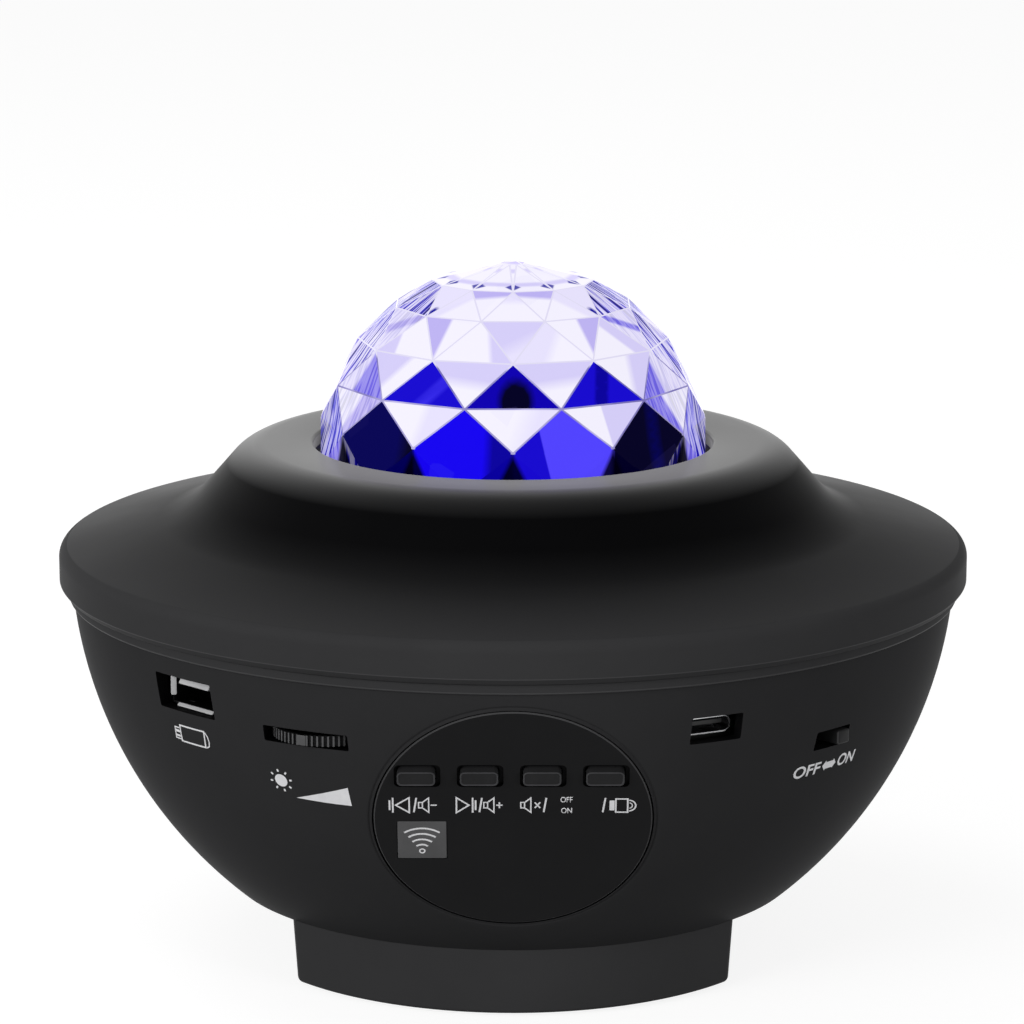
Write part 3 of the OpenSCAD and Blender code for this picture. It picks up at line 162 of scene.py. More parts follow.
def turned(name, outline, sides=96, ring=True):
    """A body turned round Z from its outline of (radius, height).

    A ring's outline closes on itself, and another body's ends are filled."""
    r, z = outline[0]
    bpy.ops.mesh.primitive_circle_add(vertices=sides, radius=r * MM, location=(0, 0, z * MM))
    o = added(name)
    open_all()
    for r1, z1 in outline[1:] + (outline[:1] if ring else []):
        grown(z1 - z, r1 / r, r1 / r)
        r, z = r1, z1
    bpy.ops.mesh.select_all(action="SELECT")
    bpy.ops.mesh.remove_doubles(threshold=4e-6)
    if not ring:
        bpy.ops.mesh.fill_holes(sides=0)
    close(outwards=True)
    return o


def block(name, size, middle=(0, 0, 0), corner=0, edge=0, along=2, steps=4):
    """A block of that size round its middle.

    The edges along one axis are rounded by corner, then the ends' edges by edge."""
    bpy.ops.mesh.primitive_cube_add(size=MM)
    o = bpy.context.object
    o.scale = size
    o.location = [m * MM for m in middle]
    o = added(name)
    others = [i for i in range(3) if i != along]
    if corner:
        pick(o, "EDGE", lambda a, b: all(abs(a[i] - b[i]) < 1e-7 for i in others))
        bevelled(corner, steps)
    if edge:
        ends = [(middle[along] + s * size[along] / 2) * MM for s in (-1, 1)]
        pick(o, "EDGE", lambda a, b: any(
            abs(a[along] - e) < 1e-7 and abs(b[along] - e) < 1e-7 for e in ends))
        bevelled(edge, 3)
    return o


def shift(x, y, z=0):
    return Matrix.Translation((x * MM, y * MM, z * MM))


def rotation(degrees, axis):
    return Matrix.Rotation(math.radians(degrees), 4, axis)


def placed(o, matrix):
    """Moves the mesh to its place and leaves the object at the origin."""
    o.matrix_world = matrix
    only(o)
    bpy.ops.object.transform_apply(location=True, rotation=True, scale=True)
    return o


def post(name, x, y, r, z0, z1, edge=0.3):
    """An upright post with softened ends."""
    outline = [(r - edge, z0), (r, z0 + edge), (r, z1 - edge), (r - edge, z1)]
    return placed(turned(name, outline, 40, False), shift(x, y))


def joined(first, *rest):
    only(first, *rest)
    bpy.ops.object.join()
    return first


def modified(o, kind, **settings):
    """Applies a modifier of that kind with these settings."""
    m = o.modifiers.new("work", kind)
    for key, value in settings.items():
        setattr(m, key, value)
    only(o)
    bpy.ops.object.modifier_apply(modifier=m.name)
    return o


def cut(o, tool):
    """Cuts the tool, which is used up, out of o."""
    modified(o, "BOOLEAN", operation="DIFFERENCE", object=tool, solver="EXACT")
    bpy.data.objects.remove(tool)
    return o


def soften(o, degrees=30):
    only(o)
    bpy.ops.object.shade_smooth_by_angle(angle=math.radians(degrees))
    return o


def at_az(az, r, z):
    """A place at that azimuth from the front, where -Y points outwards."""
    return rotation(az, "Z") @ shift(0, -r, z)


def on_panel(d, u=0, v=0):
    """A place on the panel: u to the right, v up and Z outwards, d from the ball's middle."""
    return shift(0, 0, BALL_Z) @ rotation(90 + PANEL_TILT, "X") @ shift(u, v, d)


def polar(r, a):
    return r * math.cos(math.radians(a)), r * math.sin(math.radians(a))


def between(low, value, high):
    """Whether a measure of the mesh lies between two numbers of millimetres."""
    return low * MM < value < high * MM


POSTS = [polar(POST_RING, a) for a in QUARTERS]


# ---- nodes ----
def feed(node, values):
    """Fills the node's inputs, by name or number: with a constant, or the output it follows."""
    for key, value in values.items():
        if isinstance(value, bpy.types.Node):
            value = value.outputs[0]
        if isinstance(value, bpy.types.NodeSocket):
            node.id_data.links.new(value, node.inputs[key])
        else:
            node.inputs[key].default_value = value
    return node


def new_node(tree, kind, values=None, **settings):
    """A new shader node with its settings and its inputs."""
    node = tree.nodes.new("ShaderNode" + kind)
    for key, value in settings.items():
        setattr(node, key, value)
    return feed(node, values or {})


def coordinate(tree, kind="Object"):
    return new_node(tree, "TexCoord").outputs[kind]


def parts_of(tree, vector):
    """The outputs X, Y and Z of a vector."""
    return new_node(tree, "SeparateXYZ", {0: vector}).outputs


def noise(tree, vector, scale, detail, rough=0.5):
    values = {"Vector": vector, "Scale": scale, "Detail": detail, "Roughness": rough}
    return new_node(tree, "TexNoise", values).outputs["Fac"]


def calc(tree, operation, *values):
    return new_node(tree, "Math", dict(enumerate(values)), operation=operation).outputs[0]


def mix_colour(tree, share, a, b):
    # the colour sockets share their names with the number sockets, so they go by number
    return new_node(tree, "Mix", {0: share, 6: a, 7: b}, data_type="RGBA").outputs[2]


def to_range(tree, value, low, high, new_low=0, new_high=1):
    values = dict(enumerate((value, low, high, new_low, new_high)))
    return new_node(tree, "MapRange", values).outputs[0]


def bump(tree, height, strength, depth):
    """A normal that is bumped by the height, its depth in millimetres."""
    return new_node(tree, "Bump", {"Strength": strength, "Distance": depth * MM, "Height": height})


MATERIALS = {}


def new_material(name):
    """A new material, its node tree and its skin. It goes by MATERIALS, as the CAD has materials
    of some of these names too."""
    m = bpy.data.materials.new(name)
    m.use_nodes = True
    MATERIALS[name] = m
    return m, m.node_tree, m.node_tree.nodes["Principled BSDF"]


# ---- finishes ----
def tone(r, g, b):
    """A colour given in 0 to 255 as it looks on a screen."""
    out = []
    for c in (r, g, b):
        c /= 255
        out.append(c / 12.92 if c <= 0.04045 else ((c + 0.055) / 1.055) ** 2.4)
    return (*out, 1.0)


BLACK = (0, 0, 0, 1)


def effect_group(name, inputs):
    """A node group with two scales as inputs, and a height and a mask as outputs."""
    g = bpy.data.node_groups.new(name, "ShaderNodeTree")
    for key, value in inputs.items():
        socket = g.interface.new_socket(name=key, in_out="INPUT", socket_type="NodeSocketFloat")
        socket.default_value = value
    for key in ("Height", "Mask"):
        g.interface.new_socket(name=key, in_out="OUTPUT", socket_type="NodeSocketFloat")
    return g, g.nodes.new("NodeGroupInput").outputs, g.nodes.new("NodeGroupOutput")


def moulded_grain():
    """Fine spark-eroded grain of a moulded skin, and the broad cloudiness of its gloss."""
    g, given, out = effect_group("moulded_grain", {"Grain": 1800.0, "Cloud": 30.0})
    place = coordinate(g)
    feed(out, {"Height": noise(g, place, given["Grain"], 2.0),
               "Mask": noise(g, place, given["Cloud"], 4.0, 0.6)})
    return g


def drawn_metal():
    """Fine lines that drawing or turning leaves in metal, along Z or across it."""
    g, given, out = effect_group("drawn_metal", {"Lines": 2500.0, "Across": 60.0})
    place = coordinate(g)
    scale = new_node(g, "CombineXYZ", {0: given["Across"], 1: given["Across"], 2: given["Lines"]})
    drawn = new_node(g, "VectorMath", {0: place, 1: scale}, operation="MULTIPLY")
    feed(out, {"Height": noise(g, drawn, 1.0, 3.0), "Mask": noise(g, place, 120.0, 3.0)})
    return g


GRAIN, DRAWN = moulded_grain(), drawn_metal()


def finish(name, first, second, rough, scales, relief, spec=0.5, effect=GRAIN, metal=0.0,
           through=0.0, ior=1.5):
    """Two close tints and a span of roughness under one effect, with its fine relief."""
    _, tree, skin = new_material(name)
    look = new_node(tree, "Group", node_tree=effect)
    feed(look, dict(enumerate(scales)))
    height, mask = look.outputs["Height"], look.outputs["Mask"]
    feed(skin, {
        "Base Color": mix_colour(tree, to_range(tree, mask, 0.35, 0.65), tone(*first),
                                 tone(*second)),
        "Roughness": to_range(tree, mask, 0.3, 0.7, *rough),
        "Normal": bump(tree, height, *relief),
        "Metallic": metal, "Specular IOR Level": spec, "Transmission Weight": through,
        "IOR": ior})


# two tints, roughness, the grain's two scales, the relief's strength and depth, specular level
MOULDED = {
    # the cover's near black tints are painted shade, which its ramp below spreads over the hollow
    # and the collar
    "cover_charcoal": ((8, 8, 9), (10, 10, 11), (0.3, 0.36), (2200, 25), (0.15, 0.04), 0.012),
    "satin_charcoal": ((46, 46, 47), (49, 49, 50), (0.42, 0.5), (2200, 25), (0.15, 0.04), 0.005),
    # the next two are the charcoal lightened as painted highlights on the rim, the lip, the panel's
    # chamfer and edges
    "rim_charcoal": ((54, 54, 55), (57, 57, 58), (0.42, 0.5), (2200, 25), (0.15, 0.04), 0.008),
    "edge_charcoal": ((66, 66, 67), (72, 72, 73), (0.36, 0.44), (2200, 25), (0.15, 0.04), 0.03),
    "base_charcoal": ((54, 54, 55), (57, 57, 58), (0.46, 0.54), (2000, 30), (0.15, 0.04), 0.015),
    "panel_gloss": ((26, 26, 27), (28, 28, 29), (0.28, 0.34), (1500, 60), (0.05, 0.02), 0.04),
    "recess_shade": ((9, 9, 10), (12, 12, 13), (0.5, 0.6), (1500, 60), (0.15, 0.04), 0.03),
    "button_charcoal": ((36, 36, 37), (40, 40, 41), (0.34, 0.42), (2600, 200), (0.15, 0.04), 0.06),
    # the next is the key charcoal lightened as a painted highlight on the keys' borders
    "button_border": ((58, 58, 60), (66, 66, 68), (0.34, 0.42), (2600, 200), (0.15, 0.04), 0.1),
    "window_grey": ((84, 84, 85), (90, 90, 91), (0.3, 0.38), (1800, 200), (0.06, 0.02), 0.1),
    "dial_charcoal": ((22, 22, 23), (26, 26, 27), (0.42, 0.5), (2600, 200), (0.15, 0.04), 0.08),
    # the next is the dial's charcoal lightened as a painted highlight on the ribs' crests
    "dial_crest": ((80, 80, 81), (90, 90, 91), (0.42, 0.5), (2600, 200), (0.15, 0.04), 0.1),
    "knob_charcoal": ((28, 28, 29), (33, 33, 34), (0.38, 0.46), (2600, 300), (0.15, 0.04), 0.1),
    "foot_rubber": ((46, 46, 45), (56, 55, 54), (0.78, 0.92), (3000, 160), (0.4, 0.1), 0.3),
    "print_grey": ((226, 226, 229), (234, 234, 236), (0.45, 0.55), (4000, 600), (0.1, 0.01)),
    "magnet_ferrite": ((58, 58, 62), (72, 71, 74), (0.55, 0.7), (900, 120), (0.5, 0.15)),
    "gear_acetal": ((226, 224, 214), (234, 232, 224), (0.3, 0.4), (1500, 80), (0.15, 0.04)),
    "tube_white": ((224, 224, 222), (232, 232, 230), (0.4, 0.5), (1800, 60), (0.15, 0.04)),
    "deck_white": ((214, 214, 210), (224, 224, 220), (0.42, 0.52), (1800, 60), (0.15, 0.04)),
    "board_white": ((214, 218, 214), (226, 230, 226), (0.3, 0.42), (2400, 500), (0.15, 0.04)),
    "core_black": ((20, 20, 21), (25, 25, 26), (0.35, 0.45), (2400, 300), (0.15, 0.04)),
    "dial_blue": ((34, 48, 104), (40, 56, 118), (0.4, 0.5), (2000, 200), (0.15, 0.04)),
    "chip_epoxy": ((24, 24, 26), (31, 31, 33), (0.5, 0.62), (3200, 300), (0.3, 0.05)),
    "receiver_epoxy": ((34, 20, 26), (44, 27, 33), (0.12, 0.2), (1200, 200), (0.03, 0.02)),
    "led_phosphor": ((242, 206, 92), (248, 222, 128), (0.2, 0.32), (3600, 600), (0.2, 0.04)),
    "cone_paper": ((30, 29, 28), (42, 41, 39), (0.8, 0.95), (1400, 300), (0.7, 0.3)),
    "surround_rubber": ((30, 30, 31), (36, 36, 37), (0.6, 0.7), (2400, 120), (0.2, 0.05)),
    "gasket_foam": ((40, 40, 41), (56, 56, 57), (0.85, 0.95), (2600, 500), (0.8, 0.3)),
}
METALS = {
    # the next steel is darkened with painted shade, for the sleeve inside the socket's mouth
    "shaded_steel": ((46, 46, 48), (60, 60, 62), (0.4, 0.55), (1200, 300), (0.08, 0.02)),
    "socket_steel": ((206, 206, 208), (190, 191, 194), (0.18, 0.3), (1200, 300), (0.08, 0.02)),
    "screw_steel": ((168, 169, 172), (146, 147, 150), (0.25, 0.4), (900, 900), (0.1, 0.03)),
    "motor_can": ((182, 184, 188), (164, 166, 170), (0.25, 0.38), (3000, 40), (0.12, 0.03)),
    "cooling_aluminium": ((188, 190, 194), (172, 174, 178), (0.3, 0.45), (200, 2400),
                          (0.15, 0.03)),
    "laser_brass": ((206, 170, 92), (190, 152, 78), (0.22, 0.34), (3000, 40), (0.12, 0.03)),
    "contact_gold": ((224, 184, 96), (210, 166, 84), (0.2, 0.3), (600, 600), (0.06, 0.01)),
    "speaker_steel": ((150, 152, 156), (132, 134, 138), (0.32, 0.48), (500, 500), (0.15, 0.04)),
}
for name, look in MOULDED.items():
    finish(name, *look)
for name, look in METALS.items():
    finish(name, *look, effect=DRAWN, metal=1.0)
finish("tab_tin", (208, 208, 209), (196, 196, 198), (0.4, 0.52), (1200, 300), (0.08, 0.02), 0.6,
       DRAWN)
finish("grating_film", (150, 214, 196), (206, 170, 220), (0.05, 0.1), (60, 6000), (0.3, 0.02),
       effect=DRAWN, through=0.6)
finish("ripple_acrylic", (214, 228, 246), (224, 236, 250), (0.03, 0.08), (60, 40), (0.2, 0.4),
       through=0.9, ior=1.49)
finish("lens_acrylic", (230, 236, 244), (236, 242, 250), (0.02, 0.05), (60, 40), (0.05, 0.1),
       through=0.95, ior=1.49)


def shade_hollow_and_polish_collar(m):
    """Paints shade into the cover's skin, from near black in the hollow to charcoal at the rim, and
    polishes the collar with a coat."""
    tree = m.node_tree
    skin = tree.nodes["Principled BSDF"]
    place = coordinate(tree)
    plan = new_node(tree, "VectorMath", {0: place, 1: (1, 1, 0)}, operation="MULTIPLY")
    reach = new_node(tree, "VectorMath", {0: plan}, operation="LENGTH").outputs["Value"]
    dark = skin.inputs["Base Color"].links[0].from_socket
    # painted shade: near black inside 57 mm, fading to charcoal at 82 mm
    out_of_hollow_shade = to_range(tree, reach, 0.057, 0.082)
    feed(skin, {
        "Base Color": mix_colour(tree, out_of_hollow_shade, dark, tone(50, 50, 51)),
        "Coat Weight": to_range(tree, parts_of(tree, place)["Z"], 0.0903, 0.0938, 0, 0.9),
        "Coat Roughness": 0.3, "Coat IOR": 1.5})


shade_hollow_and_polish_collar(MATERIALS["cover_charcoal"])


def board_green():
    """Solder mask over copper tracks, which stand up a little and look lighter, and the board's
    dark cut edges."""
    _, tree, skin = new_material("board_green")
    place = coordinate(tree)
    grid = new_node(tree, "Mapping", {"Vector": place, "Scale": (900, 900, 900)})
    bricks = new_node(tree, "TexBrick", {"Vector": grid, "Scale": 0.5, "Mortar Size": 0.05})
    patches = noise(tree, place, 160.0, 1.0)
    tracks = calc(tree, "MULTIPLY", bricks.outputs["Fac"], to_range(tree, patches, 0.48, 0.52))
    masked = mix_colour(tree, tracks, tone(16, 78, 44), tone(44, 118, 66))
    facing = parts_of(tree, coordinate(tree, "Normal"))["Z"]
    level = to_range(tree, calc(tree, "ABSOLUTE", facing), 0.4, 0.6)
    feed(skin, {"Base Color": mix_colour(tree, level, tone(10, 11, 10), masked),
                "Roughness": to_range(tree, patches, 0.3, 0.7, 0.28, 0.4),
                "Normal": bump(tree, tracks, 0.4, 0.05)})


board_green()

# the CAD's own solids that each finish goes on
CAD_FINISHES = {
    "base_charcoal": "speaker_grille dome_ring",
    "screw_steel": "base_screws housing_screws dome_ring_screws deck_screws small_screws"
                   " motor_shaft board_screws button_board_screws speaker_screws",
    "deck_white": "lamp_deck",
    "tube_white": "light_tube",
    "gear_acetal": "lens_gear drive_pinion plunger_1 plunger_2 plunger_3 plunger_4",
    "ripple_acrylic": "ripple_lens",
    "motor_can": "lens_motor switch_body",
    "board_white": "led_board",
    "led_phosphor": "leds",
    "lens_acrylic": "led_lens",
    "cooling_aluminium": "led_heat_sink laser_block",
    "laser_brass": "laser_module",
    "grating_film": "laser_grating",
    "board_green": "main_board button_board",
    "chip_epoxy": "board_chips",
    "core_black": "usb_core charge_core key_switches",
    "contact_gold": "usb_contacts",
    "dial_blue": "dial_base",
    "receiver_epoxy": "infrared_receiver",
    "speaker_steel": "speaker_frame",
    "magnet_ferrite": "speaker_magnet",
    "cone_paper": "speaker_cone",
    "surround_rubber": "speaker_surround",
    "gasket_foam": "speaker_gasket",
}
for material, names in CAD_FINISHES.items():
    for name in names.split():
        slots = nodes[name].data.materials
        for i in range(len(slots)):
            slots[i] = MATERIALS[material]
        if not slots:
            slots.append(MATERIALS[material])


def hand_over(o, slot, *node_names, body="housing"):
    """Hides the CAD nodes that the piece stands for and puts the piece under the body it moves
    with. The slot is not used.
    """
    if node_names:
        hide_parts(*node_names)
    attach(o, body)
    return o


def wear(o, finishes, slot, *node_names, body="housing"):
    """Gives a finished piece its materials and hands it over."""
    o.data.materials.clear()
    for name in finishes.split():
        o.data.materials.append(MATERIALS[name])
    return hand_over(o, slot, *node_names, body=body)


def paint(o, choice):
    """Gives each face the material whose number the choice returns, or leaves it at None."""
    for f in o.data.polygons:
        index = choice(f)
        if index is not None:
            f.material_index = index


# ---- top cover ----
def cover_outline():
    """The cover's outline from the dome's hole over the collar, the hollow and the rim, and back
    inside."""
    collar_round, collar_angle, hollow_r, shoulder, rim_round = 8.4, 48.7, 15.5, 13.4, 2.3
    t = COVER_WALL
    rim = (RIM_R - rim_round, COVER_Z + 5.28)
    collar = (DOME_R + 9.3, COLLAR_Z - collar_round)
    a, b = math.radians(collar_angle), math.radians(shoulder)
    top = (collar[0] + collar_round * math.sin(a), collar[1] + collar_round * math.cos(a))
    low = (rim[0] + rim_round * math.sin(b), rim[1] + rim_round * math.cos(b))
    drop = low[1] - top[1] + low[0] * math.tan(b) + hollow_r * (math.cos(b) - math.cos(a))
    x = math.tan(a) * (hollow_r * (math.sin(b) - math.sin(a)) - top[0]) + drop
    x /= math.tan(b) - math.tan(a)
    z = low[1] + (low[0] - x) * math.tan(b)
    hollow = (x + hollow_r * math.sin(b), z + hollow_r * math.cos(b))
    in_r = RIM_R - t
    in_low = (rim[0] + (rim_round - t) * math.sin(b), rim[1] + (rim_round - t) * math.cos(b))
    hole = DOME_R + 0.5
    outside = (
        arc((hole + 0.6, COLLAR_Z - 0.6), 0.6, 180, 90, 4)
        + arc(collar, collar_round, 90, 90 - collar_angle, 16)
        + arc(hollow, hollow_r, 270 - collar_angle, 270 - shoulder, 12)
        + arc(rim, rim_round, 90 - shoulder, 0, 10)
        + arc((RIM_R - 0.3, COVER_Z + 1.15), 0.3, 0, -36, 3)
        + arc((RIM_R - 0.93, COVER_Z + 0.25), 0.25, -36, -90, 3)
    )
    inside = (
        [(in_r + 0.2, COVER_Z), (in_r, COVER_Z + 0.2),
         (in_r, in_low[1] - (in_r - in_low[0]) * math.tan(b))]
        + arc(hollow, hollow_r + t, 270 - shoulder, 270 - collar_angle, 8)
        + arc(collar, collar_round - t, 90 - collar_angle, 90, 8)
        + [(hole, COLLAR_Z - t)]
    )
    return outside, inside


def cover_top_at(r):
    """Height of the cover's outer face at that radius."""
    line = cover_outline()[0][4:]  # from the end of the hole's rounding
    for (r0, z0), (r1, z1) in zip(line, line[1:]):
        if r0 <= r <= r1:
            return z0 + (z1 - z0) * (r - r0) / max(r1 - r0, 1e-9)
    return line[-1][1]


def top_cover():
    """The shell with its posts for the housing's screws, the lamp deck and the dome's ring."""
    outside, inside = cover_outline()
    shell = turned("top_cover_shell", outside + inside, 256)
    posts = []
    for name, places, r, low in (
            ("cover_post", [(POST_RING, a) for a in QUARTERS], 4.0, POST_TOP),
            ("cover_deck_boss", [(46, 0), (46, 180), (46, 270), (54.4, 90)], 3.5, DECK_TOP),
            ("cover_ring_boss", [(43.5, a) for a in range(20, 360, 90)], 2.7, FLANGE_Z)):
        for ring, a in places:
            posts.append(post(name, *polar(ring, a), r, low, cover_top_at(ring + r) - 0.8))
    return soften(joined(shell, *posts), 28)


def cover_skin(f):
    """A painted highlight on the rim band and its rounding, with a painted highlight line round its
    lower edge.
    """
    if between(COVER_Z + 0.9, f.center.z, COVER_Z + 1.16):
        return 2
    outer = math.hypot(f.center.x, f.center.y) > (RIM_R - 1.6) * MM
    return 1 if f.center.z < (COVER_Z + 4.6) * MM or outer else None


cover = wear(top_cover(), "cover_charcoal rim_charcoal edge_charcoal", "housing_black",
             "top_cover")
paint(cover, cover_skin)

# ---- lower housing: a ball turned round the panel's axis, so that the facet's edge runs clean ----
# the openings: azimuth, height of the middle, width and height
PORTS = ((USB_AZ, USB_Z, 14.4, 6.4), (DIAL_AZ, 56.25, 16.4, 2.9),
         (CHARGE_AZ, CHARGE_Z, 9.8, 4.8), (SWITCH_AZ, SWITCH_Z, 8.6, 3.5))
# the raised edge round the pocket: radius and height over the facet
BEAD = ((POCKET_R, -0.25), (24.12, -0.1), (24.19, -0.04), (24.26, -0.08), (24.36, -0.24),
        (24.46, -0.38), (24.56, -0.44), (24.68, -0.43), (24.82, -0.37), (24.95, -0.33))
BOARD_PILLARS = ((-52, -30), (52, -30), (-12, -36), (12, -36))


def panel_ball(name, flat, ball_r, ring, steps, sides):
    """A ball with a flat face towards the panel: its outline from there, then the ball from the
    radius of that ring round to its far end."""
    start = math.degrees(math.asin(math.sqrt(ball_r**2 - ring**2) / ball_r))
    outline = flat + arc((0, 0), ball_r, start, -89.6, steps)
    return placed(turned(name, outline, sides, False), on_panel(0))


def trimmed(o, z, keep_above):
    """Cuts a solid flat at that height and closes it."""
    edit(o, action="SELECT")
    bpy.ops.mesh.bisect(plane_co=(0, 0, z * MM), plane_no=(0, 0, 1), use_fill=True,
                        clear_inner=keep_above, clear_outer=not keep_above)
    close()
    return o


def housing_lip():
    """The lip under the cover and the rib that centres it."""
    r0, r1 = RIB_R - RIB_W, RIB_R
    outline = ([(79.9, LIP_Z + 0.05)] + arc((LIP_R - 0.35, LIP_Z + 0.35), 0.35, 270, 360, 4)
               + arc((LIP_R - 0.25, JOINT_Z - 0.25), 0.25, 0, 90, 3)
               + [(r1, JOINT_Z), (r1, RIB_TOP - 0.3), (r1 - 0.3, RIB_TOP),
                  (r0 + 0.3, RIB_TOP), (r0, RIB_TOP - 0.3), (r0, JOINT_Z)])
    return turned("housing_lip", outline, 256)


def lower_housing():
    """The bowl with its pocket, openings, lip, screw posts and board pillars."""
    flat = [(0.4, POCKET_D), (12, POCKET_D), (POCKET_R, POCKET_D)]
    flat += [(r, FACET_D + h) for r, h in BEAD]
    bowl = panel_ball("lower_housing_bowl", flat, BOWL_R, FACET_R, 110, 224)
    trimmed(trimmed(bowl, JOINT_Z - 0.1, False), FLOOR_Z, True)
    flat = [(0.4, BACK_D), (PANEL_BACK_R, BACK_D)]
    room = panel_ball("bowl_room", flat, BOWL_IN, PANEL_BACK_R, 48, 96)
    cut(bowl, trimmed(room, FLOOR_TOP, True))
    for az, z, w, h in PORTS:
        tool = block("port_tool", (w, 12, h), corner=0.3, along=1, steps=3)
        cut(bowl, placed(tool, at_az(az, 80, z)))
    tools = [placed(block("button_tool", (7.5, 4.1, 8), corner=0.95, steps=5),
                    on_panel(76, u, BUTTON_V)) for u in KEYS_U]
    tools.append(placed(block("window_tool", (5.6, 5.6, 8)), on_panel(76, WINDOW_U, WINDOW_V)))
    tools.append(turned("speaker_tool", [(21, 5), (21, 20)], 96, False))
    tools += [post("screw_tool", x, y, HEAD_R, 5, 30, 0) for x, y in POSTS]
    cut(bowl, joined(*tools))
    parts = [housing_lip()]
    for x, y in POSTS:
        outline = [(POST_R, POST_LOW), (POST_R, POST_TOP - 0.3), (POST_R - 0.3, POST_TOP),
                   (SCREW_R, POST_TOP), (SCREW_R, POST_TOP - 3.5), (HEAD_R, POST_TOP - 3.5),
                   (HEAD_R, POST_LOW)]
        parts.append(placed(turned("housing_post", outline, 40), shift(x, y)))
    r = 3.2
    for x, y in BOARD_PILLARS:
        sink = math.sqrt(max(0, (BOWL_R - 1) ** 2 - (math.hypot(x, y) + r) ** 2))
        low = max(POST_LOW, BALL_Z - sink)
        parts.append(post("board_pillar", x, y, r, low, PILLAR_TOP))
    return soften(joined(bowl, *parts), 28)


def housing_skin(f):
    """A painted highlight on the lip with a painted highlight line on its lower edge, and painted
    shade on the walls of the pocket and the openings.
    """
    at = TO_FACET @ f.center
    plan, off_axis = math.hypot(f.center.x, f.center.y), math.hypot(at.x, at.y)
    if f.center.z > (LIP_Z + 0.34) * MM and plan > (LIP_R - 0.1) * MM:
        return 2
    deep = (f.center - Vector((0, 0, BALL_Z * MM))).length
    port_wall = (between(BOWL_IN + 0.1, deep, BOWL_R - 0.12) and between(45, f.center.z, 65)
                 and off_axis > 26 * MM)
    if port_wall or between(24.0, off_axis, 24.11) and between(-1.9, at.z, -0.11):
        return 3
    return int(between(LIP_Z, f.center.z, LIP_Z + 0.34) and plan > (LIP_R - 0.4) * MM)


TO_FACET = on_panel(FACET_D).inverted()
housing = wear(lower_housing(), "satin_charcoal edge_charcoal rim_charcoal recess_shade",
               "housing_black", "lower_housing")
paint(housing, housing_skin)


# ---- base stand and feet ----
def base_outline(name, inner, z):
    """The stand's plan at that height as a flat face, moved in by inner, its corners rounded."""
    r, side = BASE_R - inner, (BASE_SIDE - inner) * MM
    bpy.ops.mesh.primitive_circle_add(vertices=160, radius=r * MM, fill_type="NGON",
                                      location=(0, 0, z * MM))
    o = added(name)
    for s in (-1, 1):
        edit(o, action="SELECT")
        bpy.ops.mesh.bisect(plane_co=(s * side, 0, 0), plane_no=(s, 0, 0), clear_outer=True)
        close()
    front = math.sqrt(r ** 2 - (BASE_SIDE - inner) ** 2) * MM
    pick(o, "VERT", lambda c: abs(abs(c.x) - side) < 1e-6 and abs(abs(c.y) - front) < 4e-5)
    bpy.ops.mesh.bevel(offset=1.5 * MM, segments=5, affect="VERTICES")
    bpy.ops.mesh.select_all(action="SELECT")
    close()
    return o


def drawn_down(o, inner, steps):
    """Extrudes the plan down through (depth, inset) steps, its flat sides leaning in, and closes
    the solid."""
    lean = math.tan(math.radians(BASE_LEAN))
    half, deep = BASE_SIDE - inner, BASE_R - inner
    edit(o, action="SELECT")
    x, y, z = half, deep, 0
    for depth, in_by in steps:
        x1, y1 = half - depth * lean - in_by, deep - in_by
        grown(z - depth, x1 / x, y1 / y)
        x, y, z = x1, y1, depth
    close(outwards=True)
    return o


def base_stand():
    """The hollow stand with the grille's opening, the screws' holes and the feet's pads."""
    height, r = FLOOR_Z - BASE_Z, 0.9
    rounding = []
    for a in range(0, 91, 15):
        s, c = math.sin(math.radians(a)), math.cos(math.radians(a))
        rounding.append((height - r + r * s, r - r * c))
    stand = drawn_down(base_outline("base_stand_body", 0, FLOOR_Z - 0.02), 0, rounding)
    room = base_outline("stand_room", BASE_WALL, FLOOR_Z + 1)
    cut(stand, drawn_down(room, BASE_WALL, [(height - 1.4, 0)]))
    cut(stand, turned("grille_tool", [(29, 0), (29, 2), (31.5, 2), (31.5, 9)], 96, False))
    cut(stand, joined(*[post("foot_tool", x, y, 5.1, 0, 1.6, 0) for x, y in FEET]))
    cut(stand, joined(*[post("base_screw_tool", x, y, HEAD_R, 0, 9, 0) for x, y in STAND_POSTS]))
    parts = []
    for (x, y), foot in zip(STAND_POSTS, FEET):
        outline = [(POST_R, 2.6), (POST_R, FLOOR_Z), (SCREW_R, FLOOR_Z), (SCREW_R, 3.8),
                   (HEAD_R, 3.8), (HEAD_R, 2.6)]
        parts.append(placed(turned("stand_post", outline, 40), shift(x, y)))
        parts.append(post("foot_pad", *foot, 6.6, 2.0, 4.2))
    return soften(joined(stand, *parts), 28)


def rubber_feet():
    outline = ([(0.3, 0.06), (3.0, 0.03), (4.2, 0.0)] + arc((4.5, 0.5), 0.5, 270, 360, 4)
               + [(5.0, 1.55), (4.6, 1.6)])
    feet = [placed(turned("rubber_foot", outline, 48, False), shift(x, y)) for x, y in FEET]
    return soften(joined(*feet), 35)


wear(base_stand(), "base_charcoal", "housing_black", "base_stand")
wear(rubber_feet(), "foot_rubber", "foot_rubber", "rubber_feet")


